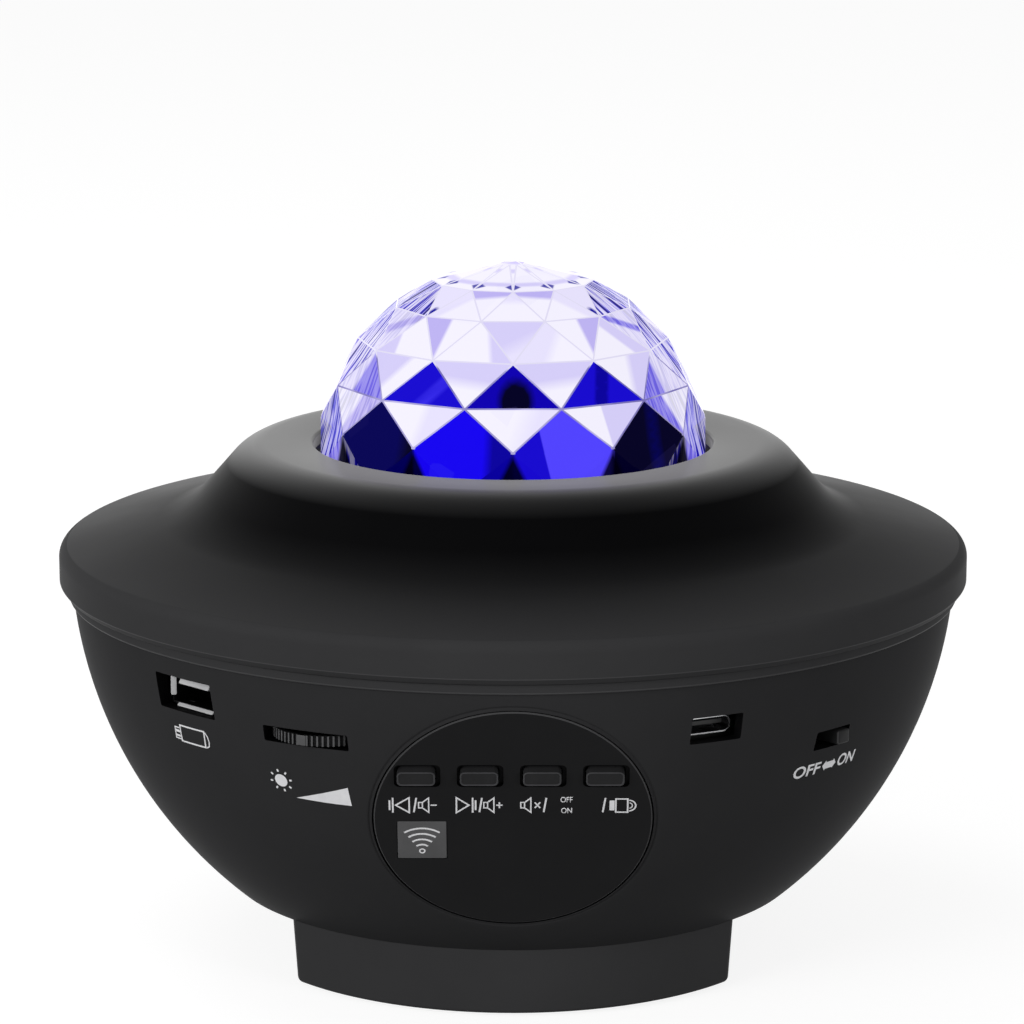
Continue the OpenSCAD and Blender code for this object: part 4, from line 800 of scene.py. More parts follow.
# ---- control panel, its window and buttons ----
def control_panel():
    """The disc with its holes, the moats round the keys and the window's recess."""
    disc = turned("control_panel_plate", [
        (0.4, 0), (PANEL_R - 0.2, 0), (PANEL_R, 0.2), (PANEL_R, 1.78), (PANEL_R - 0.08, 1.92),
        (PANEL_R - 0.22, 2.0), (12, 2.0), (0.4, 2.0)], 192, False)
    for name, size, corner, steps, aside, z in (
            ("button_tool", (6.9, 3.5, 6), 0.8, 5, 0, 1),
            ("moat_tool", (7.9, 4.85, 1.2), 0.9, 4, 0.18, 2)):
        cut(disc, joined(*[placed(block(name, size, corner=corner, steps=steps),
                                  shift(u + CAP_U + aside, CAP_V, z)) for u in KEYS_U]))
    cut(disc, block("window_tool", (8.64, 8.59, 2), (WINDOW_U, WINDOW_V - 0.1, 2.0), corner=0.25,
                    steps=2))
    cut(disc, block("light_tool", (5.6, 5.6, 6), (WINDOW_U, WINDOW_V, 0)))
    return soften(placed(disc, on_panel(POCKET_D)), 28)


def panel_skin(f):
    """A painted highlight on the chamfer, and painted shade on the disc's side and in the holes of
    the keys.
    """
    at = TO_POCKET @ f.center
    out = math.hypot(at.x, at.y)
    if between(0.2, at.z, 1.77) and out > (PANEL_R - 0.05) * MM:
        return 1
    if at.z > 1.79 * MM and out > (PANEL_R - 0.21) * MM:
        return 2
    return 1 if at.y > 6 * MM and between(0.2, at.z, 1.95) and out < 22.5 * MM else None


TO_POCKET = on_panel(POCKET_D).inverted()
panel = wear(control_panel(), "panel_gloss recess_shade edge_charcoal", "panel_black",
             "control_panel")
paint(panel, panel_skin)


def receiver_window():
    plate = block("receiver_window_plate", (8.4, 8.35, 1.0), (0, -0.1, 0.5), corner=0.2,
                  edge=0.12, steps=3)
    return soften(placed(plate, on_panel(FACET_D - 1.0, WINDOW_U, WINDOW_V)), 35)


wear(receiver_window(), "window_grey", "window_grey", "receiver_window")


def button(name, u):
    """A key cap with its raised border, its keeping collar and its stem."""
    low, top = BUTTON_LOW, FACET_D + BUTTON_OUT
    cap = block(name, (6.5, 3.0, top - low), (CAP_U, CAP_V - BUTTON_V, (top + low) / 2),
                corner=0.85, edge=0.12, steps=5)
    pick(cap, "FACE", lambda f: f.normal.z > 0.99)
    inset((0.09, 0), (0.1, -0.12))
    collar = block("button_collar", (8.6, 5.2, 1.0), (0, 0, low + 0.5), corner=0.4, edge=0.15,
                   steps=2)
    stem = turned("button_stem", [(1.2, 72.1), (1.4, 72.3), (1.4, low + 0.1)], 24, False)
    return soften(placed(joined(cap, collar, stem), on_panel(0, u, BUTTON_V)), 35)


def border_skin(f):
    """The narrow faces of the raised border, which take a painted highlight."""
    return int((TO_POCKET @ f.center).z > 2.6 * MM and f.area < 0.9e-6)


for k, u in enumerate(KEYS_U, 1):
    key = wear(button(f"button_cap_{k}", u), "button_charcoal button_border", "button_black",
               f"button_{k}", body=f"button_{k}")
    paint(key, border_skin)


# ---- dial wheel and switch knob ----
def dial_wheel():
    """The wheel with narrow ribs all round and one flat pad to mark its setting."""
    ribs, per_rib, thick = 64, 6, DIAL_T - 0.2
    bpy.ops.mesh.primitive_cylinder_add(vertices=ribs * per_rib, radius=DIAL_R * MM,
                                        depth=thick * MM, location=(0, 0, DIAL_T / 2 * MM))
    wheel = added("dial_wheel_disc")
    step = 2 * math.pi / (ribs * per_rib)

    def in_groove(c):
        turn = round((math.atan2(c.y, c.x) + math.pi) / step)
        return turn % per_rib > 2 and math.hypot(c.x, c.y) > 0.009

    pick(wheel, "VERT", in_groove)
    bpy.ops.transform.resize(value=(0.965, 0.965, 1), center_override=(0, 0, 0))
    close()
    pick(wheel, "FACE", lambda f: abs(f.normal.z) > 0.9)
    inset((0.5, 0), (0.3, -0.25))
    pad = block("dial_pad", (1.75, 0.7, thick), (0, -DIAL_R + 0.3, DIAL_T / 2), corner=0.15,
                edge=0.12, along=1, steps=2)
    stub = turned("dial_stub", [(1.8, -2.3), (2.0, -2.1), (2.0, 0.1)], 32, False)
    return soften(placed(joined(wheel, pad, stub), DIAL_PLACE), 25)


def crest_skin(f):
    """The crests of the ribs, which take a painted highlight."""
    out = f.center - DIAL_PLACE.to_translation()
    return int(math.hypot(out.x, out.y) > (DIAL_R - 0.06) * MM and abs(f.normal.z) < 0.8)


DIAL_PLACE = at_az(DIAL_AZ, DIAL_AXIS, DIAL_LOW)
dial = wear(dial_wheel(), "dial_charcoal dial_crest", "dial_black", "dial_wheel", body="dial")
paint(dial, crest_skin)


def switch_knob():
    """The slider's finger, its end softened for the fingertip."""
    face = math.sqrt(BOWL_R**2 - (BALL_Z - SWITCH_Z) ** 2) + 0.9
    long = face - 68.6
    finger = block("switch_knob_finger", (3.0, long, 2.5), (2, -(face - long / 2), 0),
                   corner=0.3, edge=0.3, along=1, steps=2)
    slider = block("switch_slider", (5.4, 2.0, 3.6), (2, -69.0, 0), corner=0.2, along=1, steps=2)
    return soften(placed(joined(finger, slider), at_az(SWITCH_AZ, 0, SWITCH_Z)), 30)


knob = wear(switch_knob(), "knob_charcoal edge_charcoal", "knob_black", "switch_knob",
            body="power_knob")
# faces turned to the front left, towards the key lamp, take the lighter charcoal as a painted
# highlight
front_left = rotation(SWITCH_AZ, "Z").to_3x3() @ Vector((-0.8, -0.6, 0))
paint(knob, lambda f: int(f.normal.dot(front_left) > 0.88))


# ---- sockets ----
def sleeve(name, w, h, l, corner, wall):
    """An open metal sleeve along Y, its front at y = 0."""
    o = block(name, (w, l, h), (0, l / 2, 0), corner=corner, along=1, steps=6)
    pick(o, "FACE", lambda f: abs(f.normal.y) > 0.9)
    bpy.ops.mesh.inset(thickness=wall * MM, depth=0, use_individual=True)
    bpy.ops.mesh.delete(type="FACE")
    close()
    edges = {}
    for f in o.data.polygons:
        for e in f.edge_keys:
            edges[e] = edges.get(e, 0) + 1
    edit(o, "EDGE")
    close()
    for e in o.data.edges:
        e.select = edges.get(tuple(sorted(e.vertices))) == 1
    bpy.ops.object.mode_set(mode="EDIT")
    bpy.ops.mesh.bridge_edge_loops()
    close(outwards=True)
    return o


def flared_tab(name, wide, long, lean, middle, side):
    """A spring tab at the socket's mouth, bent outwards: side turns it round the mouth."""
    tab = block(name, (wide, long, 0.22), corner=0.25, edge=0.06, steps=3)
    return placed(tab, shift(*middle) @ rotation(side, "Y") @ rotation(-lean, "X"))


def usb_shell():
    """The USB-A shell in steel darkened with painted shade, its mouth's bent tabs bright."""
    shell = placed(sleeve("usb_socket_shell", 13.1, 5.7, 13.7, 0.45, 0.4), shift(0, 0.3))
    legs = [block("usb_leg", (1.4, 3.0, 0.7), (s * 5.55, 8.4, -3.0), corner=0.1, steps=2)
            for s in (-1, 1)]
    springs = [block("usb_spring", (1.6, 5.0, 0.18), (x * 3.1, 4.2, z * 2.33), corner=0.2,
                     edge=0.05, steps=2) for x, z in CORNERS]
    shaded_sleeve = joined(shell, *legs, *springs)
    tabs = joined(flared_tab("usb_tab_top", 7.8, 1.5, -60, (0, -0.1, 1.78), 0),
                  flared_tab("usb_tab_foot", 9.4, 0.72, 38, (0, 0.0, -2.8), 180),
                  flared_tab("usb_tab_left", 3.5, 1.0, 45, (-5.85, 0.0, 0.4), -90),
                  flared_tab("usb_tab_right", 3.5, 1.25, 45, (6.28, 0.0, 0.85), 90))
    shaded_sleeve.data.materials.append(MATERIALS["shaded_steel"])
    tabs.data.materials.append(MATERIALS["tab_tin"])
    return soften(placed(joined(shaded_sleeve, tabs), at_az(USB_AZ, USB_FACE, USB_Z)), 35)


def charge_shell():
    shell = sleeve("charging_socket_shell", 8.8, 2.96, 7.3, 1.4, 0.22)
    return soften(placed(shell, at_az(CHARGE_AZ, CHARGE_FACE, CHARGE_Z - 0.15)), 35)


hand_over(usb_shell(), "socket_metal", "usb_shell")
wear(charge_shell(), "socket_steel", "socket_metal", "charge_shell")


# ---- printed marks ----
SIGN_V = 3.35


def stroke(points, width=0.3, shut=False):
    """The outline of a line of that width through the points, in loops: one, or two where the
    line closes on itself."""
    left, right, n = [], [], len(points)
    for i in range(n):
        here = Vector(points[i])
        ahead = (Vector(points[(i + 1) % n]) - here).normalized() if shut or i < n - 1 else None
        behind = (here - Vector(points[i - 1])).normalized() if shut or i else ahead
        mid = (behind + (ahead or behind)).normalized()
        across = Vector((-mid.y, mid.x))
        reach = width / 2 / max(0.45, across.dot(Vector((-behind.y, behind.x))))
        left.append(here + across * reach)
        right.append(here - across * reach)
    return [left, right] if shut else [left + right[::-1]]


def dash(x0, y0, x1, y1, width=0.26):
    return stroke([(x0, y0), (x1, y1)], width)


def ink(name, *strokes):
    """Flat ink: each stroke is one or more outlines in millimetres, filled."""
    parts = []
    for loops in strokes:
        line = bpy.data.curves.new(name, "CURVE")
        line.dimensions, line.fill_mode = "2D", "BOTH"
        for loop in loops:
            s = line.splines.new("POLY")
            s.points.add(len(loop) - 1)
            for point, (x, y) in zip(s.points, loop):
                point.co = (x * MM, y * MM, 0, 1)
            s.use_cyclic_u = True
        o = bpy.data.objects.new(name, line)
        bpy.context.scene.collection.objects.link(o)
        only(o)
        bpy.ops.object.convert(target="MESH")
        parts.append(bpy.context.object)
    return joined(*parts)


def letters(name, word, low, high, weight):
    """A word in plain capitals, filling the box from low to high."""
    bpy.ops.object.text_add()
    o = bpy.context.object
    o.name = name
    o.data.body, o.data.offset = word, weight
    bpy.ops.object.convert(target="MESH")
    o = bpy.context.object
    xs, ys = [v.co.x for v in o.data.vertices], [v.co.y for v in o.data.vertices]
    wide = (high[0] - low[0]) * MM / (max(xs) - min(xs))
    tall = (high[1] - low[1]) * MM / (max(ys) - min(ys))
    move = Matrix.Translation((low[0] * MM - min(xs) * wide, low[1] * MM - min(ys) * tall, 0))
    return placed(o, move @ Matrix.Diagonal((wide, tall, 1, 1)))


def layer(o):
    """Gives flat ink its thickness, its face outwards."""
    return modified(o, "SOLIDIFY", thickness=0.04 * MM, offset=1)


def face_up(o):
    pick(o, "FACE", lambda f: f.normal.z < 0)
    bpy.ops.mesh.flip_normals()
    close()
    return o


def on_bowl(o, az, z):
    """Lays flat ink round the bowl with its middle at that azimuth and height."""
    edit(face_up(o), action="SELECT")
    bpy.ops.mesh.subdivide(number_cuts=3)
    close()
    placed(o, shift(0, 0, BOWL_R))
    modified(o, "CAST", cast_type="SPHERE", factor=1, use_radius_as_size=False,
             size=(BOWL_R + 0.01) * MM)
    rise = math.degrees(math.asin((z - BALL_Z) / BOWL_R))
    return placed(layer(o), shift(0, 0, BALL_Z) @ rotation(az, "Z") @ rotation(90 - rise, "X"))


def speaker_mark(x, y=SIGN_V):
    """A small loudspeaker facing right: its box and its horn."""
    box = [(x, y - 0.62), (x, y + 0.62), (x + 0.65, y + 0.62), (x + 0.65, y - 0.62)]
    horn = [(x + 0.75, y + 0.7), (x + 1.72, y + 1.62), (x + 1.72, y - 1.62), (x + 0.75, y - 0.7)]
    return [stroke(box, 0.22, True), stroke(horn, 0.26)]


def slash(x):
    return dash(x - 0.22, 1.78, x + 0.22, 4.98, 0.3)


def upright(x, half):
    return dash(x, SIGN_V - half, x, SIGN_V + half, 0.3)


def triangle(tip, side):
    return stroke([(tip, SIGN_V), (side, 5.02), (side, 1.68)], 0.28, True)


def panel_marks():
    """The signs of the keys (back and softer, on and louder, mute with its off and on, and the
    memory stick) and the waves over the window."""
    flat = [
        upright(-21.05, 1.1), upright(-20.5, 1.66), triangle(-20.0, -17.7),
        slash(-16.7), *speaker_mark(-16.1), dash(-14.07, SIGN_V, -13.01, SIGN_V),
        upright(-6.88, 1.66), upright(-6.38, 1.1), triangle(-7.5, -9.65),
        slash(-5.52), *speaker_mark(-4.98), dash(-2.87, SIGN_V, -1.79, SIGN_V),
        dash(-2.33, 3.55, -2.33, 4.0), dash(-2.33, 3.15, -2.33, 2.7),
        *speaker_mark(1.32), dash(3.7, 4.0, 4.62, 2.72),
        dash(3.7, 2.72, 4.06, 3.22), dash(4.26, 3.5, 4.62, 4.0),
        slash(5.45), slash(15.52),
        [[(16.45, 2.2), (17.3, 2.2), (17.3, 4.4), (16.45, 4.4)]],
        stroke([(17.52, 4.75), (17.52, 1.78), (19.55, 1.78), (19.55, 4.75)], 0.27, True),
        stroke(arc((19.72, 3.27), 1.2, -88, 88, 16), 0.24),
        stroke(arc((19.72, 3.27), 0.62, -80, 80, 12), 0.18),
    ]
    wave = (WINDOW_U, WINDOW_V - 2.55)
    for r, half in ((1.45, 41), (2.65, 39), (3.9, 37), (5.15, 36)):
        flat.append(stroke(arc(wave, r, 90 - half, 90 + half, 16), 0.34))
    flat.append(stroke(arc(wave, 0.44, 0, 345, 23), 0.24, True))
    words = [letters("key_word_off", "OFF", (8.1, 3.95), (10.15, 5.2), 0.012),
             letters("key_word_on", "ON", (8.22, 1.52), (10.08, 2.75), 0.012)]
    o = joined(ink("panel_prints", *flat), *words)
    return placed(layer(face_up(o)), on_panel(FACET_D - 0.005))


def bowl_marks():
    """A memory stick under its socket, a sun and a wedge under the dial, and off and on with an
    arrow under the switch."""
    stick = ink("bowl_prints",
                stroke([(-2.6, 1.75), (-2.95, -1.42), (3.3, -1.48), (3.75, 1.72)], 0.3, True),
                stroke([(3.95, 1.6), (4.4, 0.8), (4.55, -0.2), (4.3, -1.1), (3.6, -1.5)], 0.24),
                stroke([(-2.9, 1.15), (-4.15, 1.15), (-4.45, -1.1), (-3.1, -1.1)], 0.24),
                dash(-4.05, 0.45, -3.0, 0.45, 0.5), dash(-4.2, -0.5, -3.1, -0.5, 0.4))
    rays = [dash(*polar(1.75, a), *polar(2.25, a), 0.34) for a in range(8, 360, 45)]
    sun = ink("sun_print", [arc((0, 0), 1.25, 0, 350, 35)], *rays)
    wedge = ink("wedge_print", [[(-5.6, -1.05), (4.95, 2.5), (5.05, -1.25)]])
    off = letters("switch_word_off", "OFF", (-3.4, -1.25), (3.2, 1.2), 0.02)
    on = letters("switch_word_on", "ON", (-2.35, -1.2), (2.35, 1.3), 0.02)
    arrow = ink("switch_arrow", [[(-1.75, 0), (-1.0, 0.95), (-0.85, 0.62), (0.9, 0.68),
                                  (1.05, 1.0), (1.78, 0.05), (1.15, -0.88), (0.9, -0.72),
                                  (-0.8, -0.75), (-0.95, -1.0)]])
    return joined(on_bowl(stick, -45.29, 52.22), on_bowl(sun, -31.04, 47.4),
                  on_bowl(wedge, -25.03, 45.3), on_bowl(off, 41.71, 46.67),
                  on_bowl(arrow, 45.76, 46.78), on_bowl(on, 49.29, 46.97))


wear(panel_marks(), "print_grey", "socket_white")
wear(bowl_marks(), "print_grey", "socket_white")

# ---- dome ----
# the dome's painted light, from white through lilac and violet to near black
SNOW, PALE, LILAC = tone(244, 241, 255), tone(231, 226, 253), tone(213, 206, 248)
LAVENDER, VIOLET, SKY = tone(190, 180, 242), tone(120, 108, 232), tone(82, 68, 255)
BRIGHT, COBALT, DEEP = tone(22, 4, 240), tone(10, 2, 158), tone(24, 10, 208)
NAVY, INK = tone(2, 0, 84), tone(2, 0, 36)
FACET_AZ = 15
TOP_R = 2.4
ROWS = [0, 12.3, 24.4, 38.2, 52.7, 66, math.degrees(math.acos(TOP_R / DOME_R))]
# a radius between the shell's two faces, and a height just under its top
BETWEEN_R, UNDER_TOP = 34, DOME_R - 0.12


def row_z(k):
    """The height of a row of corners over the dome's foot."""
    return polar(DOME_R, ROWS[k])[1]


def line(turn, shift_by):
    """Two sides of a straight line across a facet: turn is the second side's direction."""
    c, s = math.cos(math.radians(turn)), math.sin(math.radians(turn))
    return lambda x, y: x * c + y * s - shift_by


def band(turn, shift_by, half):
    side = line(turn, shift_by)
    return lambda x, y: half - abs(side(x, y))


def spot(x0, y0, wide, high):
    return lambda x, y: (1 - math.hypot((x - x0) / wide, (y - y0) / high)) * min(wide, high)


# by row and azimuth: a facet's two tints, where the second one lies, and their border's softness;
# the tints are painted light, the lamp inside as each facet bends it
TINTS = {
    (0, 0): (COBALT, DEEP, line(0, 0), 0.3), (0, 15): (DEEP, SKY, line(11, -2.95), 0.12),
    (0, 30): (SKY, INK, line(0, 0), 0.5), (0, 45): (INK, NAVY, band(0, 1.5, 1.2), 0.9),
    (0, 60): (INK, VIOLET, line(0, 1), 0.8), (0, -15): (BRIGHT, COBALT, line(0, 4.6), 0.9),
    (0, -30): (NAVY, BRIGHT, line(0, 0), 0.3), (0, -45): (NAVY, INK, line(0, 6.5), 1.5),
    (0, -60): (VIOLET, NAVY, line(0, -1), 0.8), (0, 75): (DEEP, NAVY, line(20, 0.5), 0.7),
    (0, -75): (DEEP, NAVY, line(160, 0.5), 0.7), (1, 75): (DEEP, COBALT, line(10, 1.0), 0.5),
    (1, -75): (DEEP, COBALT, line(170, 1.0), 0.5), (2, 90): (COBALT, VIOLET, line(40, 1.0), 0.5),
    (2, -90): (COBALT, VIOLET, line(140, 1.0), 0.5), (1, 0): (SNOW, PALE, line(-20, 2), 2.0),
    (1, 15): (DEEP, SKY, line(11, -3.9), 0.12), (1, 30): (SNOW, LILAC, line(5, -0.3), 0.15),
    (1, 45): (INK, NAVY, band(0, 1.5, 1.2), 0.9), (1, 60): (SNOW, VIOLET, line(200, 1.0), 0.5),
    (1, -15): (BRIGHT, COBALT, line(0, 4.6), 0.9), (1, -30): (SNOW, PALE, line(-10, 0.5), 1.0),
    (1, -45): (NAVY, INK, line(0, 6.5), 1.5), (1, -60): (SNOW, LAVENDER, line(-20, 0.5), 0.6),
    (2, 0): (tone(14, 0, 176), INK, spot(0.5, -1.6, 3.0, 4.4), 0.7),
    (2, 15): (LILAC, SNOW, line(-84, 1.2), 1.1),
    (2, 30): (DEEP, COBALT, band(-14, 0.4, 1.3), 0.35),
    (2, 45): (SNOW, LILAC, line(-20, 0.2), 0.8), (2, 60): (PALE, VIOLET, line(190, 0.8), 0.4),
    (2, -15): (LILAC, SNOW, line(-96, 1.2), 1.1),
    (2, -30): (DEEP, tone(58, 46, 238), band(-40, 1.4, 0.9), 0.7),
    (2, -45): (LILAC, SNOW, line(-35, 0.3), 0.7), (2, -60): (VIOLET, PALE, line(160, 1.5), 0.5),
    (3, 0): (LILAC, PALE, line(-60, 2.2), 1.5), (3, 15): (PALE, SNOW, line(-25, 0.4), 0.9),
    (3, 30): (SNOW, LAVENDER, line(0, 0.8), 0.35), (3, 45): (SNOW, LILAC, line(35, 1.2), 0.35),
    (3, -15): (SNOW, LILAC, line(12, 2.6), 0.5), (3, -30): (SNOW, LAVENDER, line(180, 0.2), 0.35),
    (3, -45): (SNOW, LILAC, line(190, 3.0), 0.3), (3, 60): (PALE, VIOLET, band(60, 0, 0.8), 0.3),
    (3, -60): (PALE, LAVENDER, band(120, 0, 1.0), 0.4), (4, 0): (SNOW, PALE, line(90, 2.6), 0.8),
    (4, 15): (SNOW, LAVENDER, line(80, 0.9), 0.5), (4, -15): (SNOW, LAVENDER, line(100, 0.9), 0.5),
    (4, 30): (SNOW, PALE, line(40, 1.0), 0.5), (4, -30): (SNOW, PALE, line(140, 1.0), 0.5),
    (4, 45): (PALE, COBALT, spot(-0.3, -4.2, 0.8, 1.3), 0.25),
    (4, -45): (PALE, COBALT, spot(0.3, -4.2, 0.8, 1.3), 0.25),
}


def facet_paint(row, az):
    """The tints of the facet in that row and azimuth. The dome's back repeats its front."""
    if abs(az) > 90:
        az = 180 - az if az > 0 else -180 - az
    if (row, az) in TINTS:
        return TINTS[(row, az)] + (max(0.0, (abs(az) - 50) / 40),)
    turn = round(az / FACET_AZ)
    if row == 5:
        return (SNOW, LILAC, band(90, -1.0 if turn % 2 else 1.2, 0.9), 0.4, 0.0)
    pairs = ((VIOLET, NAVY), (LAVENDER, COBALT), (SNOW, VIOLET), (PALE, DEEP))
    return (*pairs[(row + turn) % 4], line(25 * row, 0.5), 0.8, 1.0)


def dome_facets():
    """The hollow shell of flat facets, with ground edges between them in a second material."""
    bpy.ops.mesh.primitive_circle_add(vertices=12, radius=DOME_R * MM,
                                      rotation=(0, 0, math.radians(FACET_AZ)))
    o = added("dome_shell")
    open_all()
    r, z = DOME_R, 0
    for el in ROWS[1:]:
        r1, z1 = polar(DOME_R, el)
        grown(z1 - z, r1 / r, r1 / r, FACET_AZ)
        r, z = r1, z1
    bpy.ops.mesh.select_all(action="SELECT")
    bpy.ops.mesh.fill_holes(sides=0)
    bpy.ops.mesh.select_all(action="SELECT")
    bpy.ops.mesh.quads_convert_to_tris(quad_method="SHORTEST_DIAGONAL")
    bpy.ops.mesh.normals_make_consistent(inside=False)
    close()
    o.data.materials.append(None)
    o.data.materials.append(None)
    pick(o, "EDGE", lambda a, b: a.z > 1e-5 or b.z > 1e-5)
    bpy.ops.mesh.bevel(offset=0.15 * MM, segments=1, affect="EDGES", material=1)
    close()
    first_row = row_z(1) * MM
    for f in o.data.polygons:
        zs = [o.data.vertices[i].co.z for i in f.vertices]
        level = (len(zs) == 4 and max(zs) - min(zs) < 0.5 * MM
                 and abs(f.center.z - first_row) < 0.5 * MM)
        if f.material_index == 1 and (level or f.center.z < first_row - 0.3 * MM):
            f.material_index = 0
    outline = [(DOME_IN, -1)] + arc((0, 0), DOME_IN, 0, 89, 40)
    return cut(o, turned("dome_room", outline, 96, False))


def is_facet(f):
    """A whole outer facet, told from the ground edges, the flange and the inner face."""
    return (f.material_index == 0 and f.area > 4e-6 and f.center.length > BETWEEN_R * MM
            and between(1.2, f.center.z, UNDER_TOP))


def facet_row(c):
    """The row of facets that a facet belongs to, by the height of its middle."""
    row = 0
    while row < 5 and c.z > row_z(row + 1) * MM:
        row += 1
    return row


def painted(o):
    """Writes on every facet's corners its two tints, the distance to their border and the share
    of streaks."""
    facing = KDTree(sum(map(is_facet, o.data.polygons)))
    homes = []
    for f in filter(is_facet, o.data.polygons):
        facing.insert(f.normal, len(homes))
        az = math.degrees(math.atan2(f.center.x, -f.center.y))
        homes.append((facet_row(f.center), round(az / FACET_AZ)))
    facing.balance()
    pick(o, "FACE", is_facet)
    bpy.ops.mesh.subdivide(number_cuts=7)
    close()
    me = o.data
    for name, kind in (("first_tint", "FLOAT_COLOR"), ("second_tint", "FLOAT_COLOR"),
                       ("border", "FLOAT"), ("streaks", "FLOAT")):
        me.attributes.new(name, kind, "CORNER")
    first, second = me.attributes["first_tint"].data, me.attributes["second_tint"].data
    border, streaks = me.attributes["border"].data, me.attributes["streaks"].data
    for f in me.polygons:
        rim = f.center.length < BETWEEN_R * MM or f.center.z < 1.15 * MM
        if rim or f.center.z > UNDER_TOP * MM:
            for i in f.loop_indices:
                first[i].color = second[i].color = INK if rim else LAVENDER
                border[i].value = streaks[i].value = 0.0
            continue
        row, step = homes[facing.find(f.normal)[1]]
        az = math.radians(step * FACET_AZ)
        (r0, z0), (r1, z1) = polar(DOME_R, ROWS[row]), polar(DOME_R, ROWS[row + 1])
        rising = (step % 2 == 0) == (row % 2 == 0)
        middle_z = z0 + (z1 - z0) * (1 / 3 if rising else 2 / 3)
        tall = math.hypot(z1 - z0, r0 - r1)
        turn = step * FACET_AZ
        a, b, side, soft, share = facet_paint(row, turn if turn <= 180 else turn - 360)
        for i in f.loop_indices:
            v = me.vertices[me.loops[i].vertex_index].co / MM
            x = v.x * math.cos(az) + v.y * math.sin(az)
            y = (v.z - middle_z) * tall / (z1 - z0)
            first[i].color, second[i].color = a, b
            border[i].value, streaks[i].value = side(x, y) / soft, share


def dome_light():
    """The lit dome, its colours painted light: each facet's two tints, streaks at its sides, and
    the dark wedges of painted shade over its foot."""
    m, tree, skin = new_material("dome_violet")
    first, second, border, streaks = (
        new_node(tree, "Attribute", attribute_name=name)
        for name in ("first_tint", "second_tint", "border", "streaks"))
    coord = coordinate(tree)
    place = parts_of(tree, coord)
    side = to_range(tree, border.outputs["Fac"], -1, 1)
    facet = mix_colour(tree, side, first, second)
    # painted light: streaks run down the sides
    az = calc(tree, "ARCTAN2", place["X"], calc(tree, "MULTIPLY", place["Y"], -1.0))
    along = new_node(tree, "CombineXYZ", {"X": calc(tree, "MULTIPLY", az, 22.0),
                                          "Y": calc(tree, "MULTIPLY", place["Z"], 70.0)})
    ramp = new_node(tree, "ValToRGB", {0: noise(tree, along, 1.0, 2.0, 0.55)})
    stops = ((0.36, NAVY), (0.43, DEEP), (0.47, LAVENDER), (0.52, SNOW), (0.58, LILAC),
             (0.63, DEEP), (0.7, NAVY))
    for element, stop in zip(ramp.color_ramp.elements, (stops[0], stops[-1])):
        element.position, element.color = stop
    for at, colour in stops[1:-1]:
        ramp.color_ramp.elements.new(at).color = colour
    streaked = mix_colour(tree, calc(tree, "MULTIPLY", streaks.outputs["Fac"], 0.9), facet, ramp)
    # painted light: slanting shards of the facets behind, seen through the shell
    slant = new_node(tree, "Mapping", {"Vector": coord, "Rotation": (0.5, 0.3, 0.6),
                                       "Scale": (1, 1, 0.55)})
    shards = new_node(tree, "TexVoronoi", {"Vector": slant, "Scale": 110}).outputs["Color"]
    grey = new_node(tree, "SeparateColor", {0: shards}).outputs[0]
    broken = mix_colour(tree, to_range(tree, grey, 0.7, 0.95, 0.0, 0.04), streaked, VIOLET)
    # painted shade: dark wedges under the first row's corners
    turns = calc(tree, "ADD", calc(tree, "MULTIPLY", az, 6 / math.pi), 0.5)
    off = calc(tree, "ABSOLUTE", calc(tree, "SUBTRACT", calc(tree, "FRACT", turns), 0.5))
    off = calc(tree, "MULTIPLY", off, 0.0187)
    top = (DOME_Z + row_z(1)) * MM
    drop = calc(tree, "MULTIPLY", calc(tree, "SUBTRACT", top, place["Z"]), 0.5)
    inside = to_range(tree, calc(tree, "SUBTRACT", drop, off), -0.0003, 0.0007, 0.0, 0.96)
    wedged = mix_colour(tree, inside, broken, tone(1, 0, 14))
    # painted glints, dark, over the corners of the fifth row
    high = (DOME_Z + row_z(5) + 0.5) * MM
    rise = calc(tree, "ABSOLUTE", calc(tree, "SUBTRACT", place["Z"], high))
    reach = calc(tree, "ADD", calc(tree, "MULTIPLY", off, 0.09), rise)
    shown = mix_colour(tree, to_range(tree, reach, 0.0003, 0.00042, 0.92, 0.0), wedged, COBALT)
    # the lamp inside shows to the eye, glows evenly in what mirrors it and spills little on the
    # collar
    path = new_node(tree, "LightPath").outputs
    dim = mix_colour(tree, 0.9, shown, BLACK)
    glow = mix_colour(tree, path["Is Glossy Ray"], dim, tone(232, 230, 236))
    smear = noise(tree, coord, 300.0, 2.0)
    feed(skin, {
        "Base Color": mix_colour(tree, 0.85, shown, BLACK),
        "Emission Color": mix_colour(tree, path["Is Camera Ray"], glow, shown),
        "Emission Strength": 0.88,
        "Roughness": to_range(tree, smear, 0.3, 0.7, 0.06, 0.12),
        "Specular IOR Level": 0.02})
    return m


def dome_ridge():
    """The ground edges between the facets, their glow a painted highlight: a soft lavender low on
    the dome, and nearly the facets' own white above."""
    m, tree, skin = new_material("dome_ridge")
    coord = coordinate(tree)
    sparkle = noise(tree, coord, 90.0, 2.0)
    low = mix_colour(tree, to_range(tree, sparkle, 0.35, 0.65), tone(122, 114, 186),
                     tone(200, 194, 240))
    upper = (DOME_Z + row_z(3)) * MM
    height = to_range(tree, parts_of(tree, coord)["Z"], upper - 0.0012, upper - 0.0006)
    shine = mix_colour(tree, height, low, tone(232, 228, 252))
    feed(skin, {
        "Base Color": mix_colour(tree, 0.85, shine, BLACK),
        "Emission Color": shine, "Emission Strength": 0.8,
        "Roughness": to_range(tree, sparkle, 0.3, 0.7, 0.12, 0.2),
        "Specular IOR Level": 0.1})
    return m


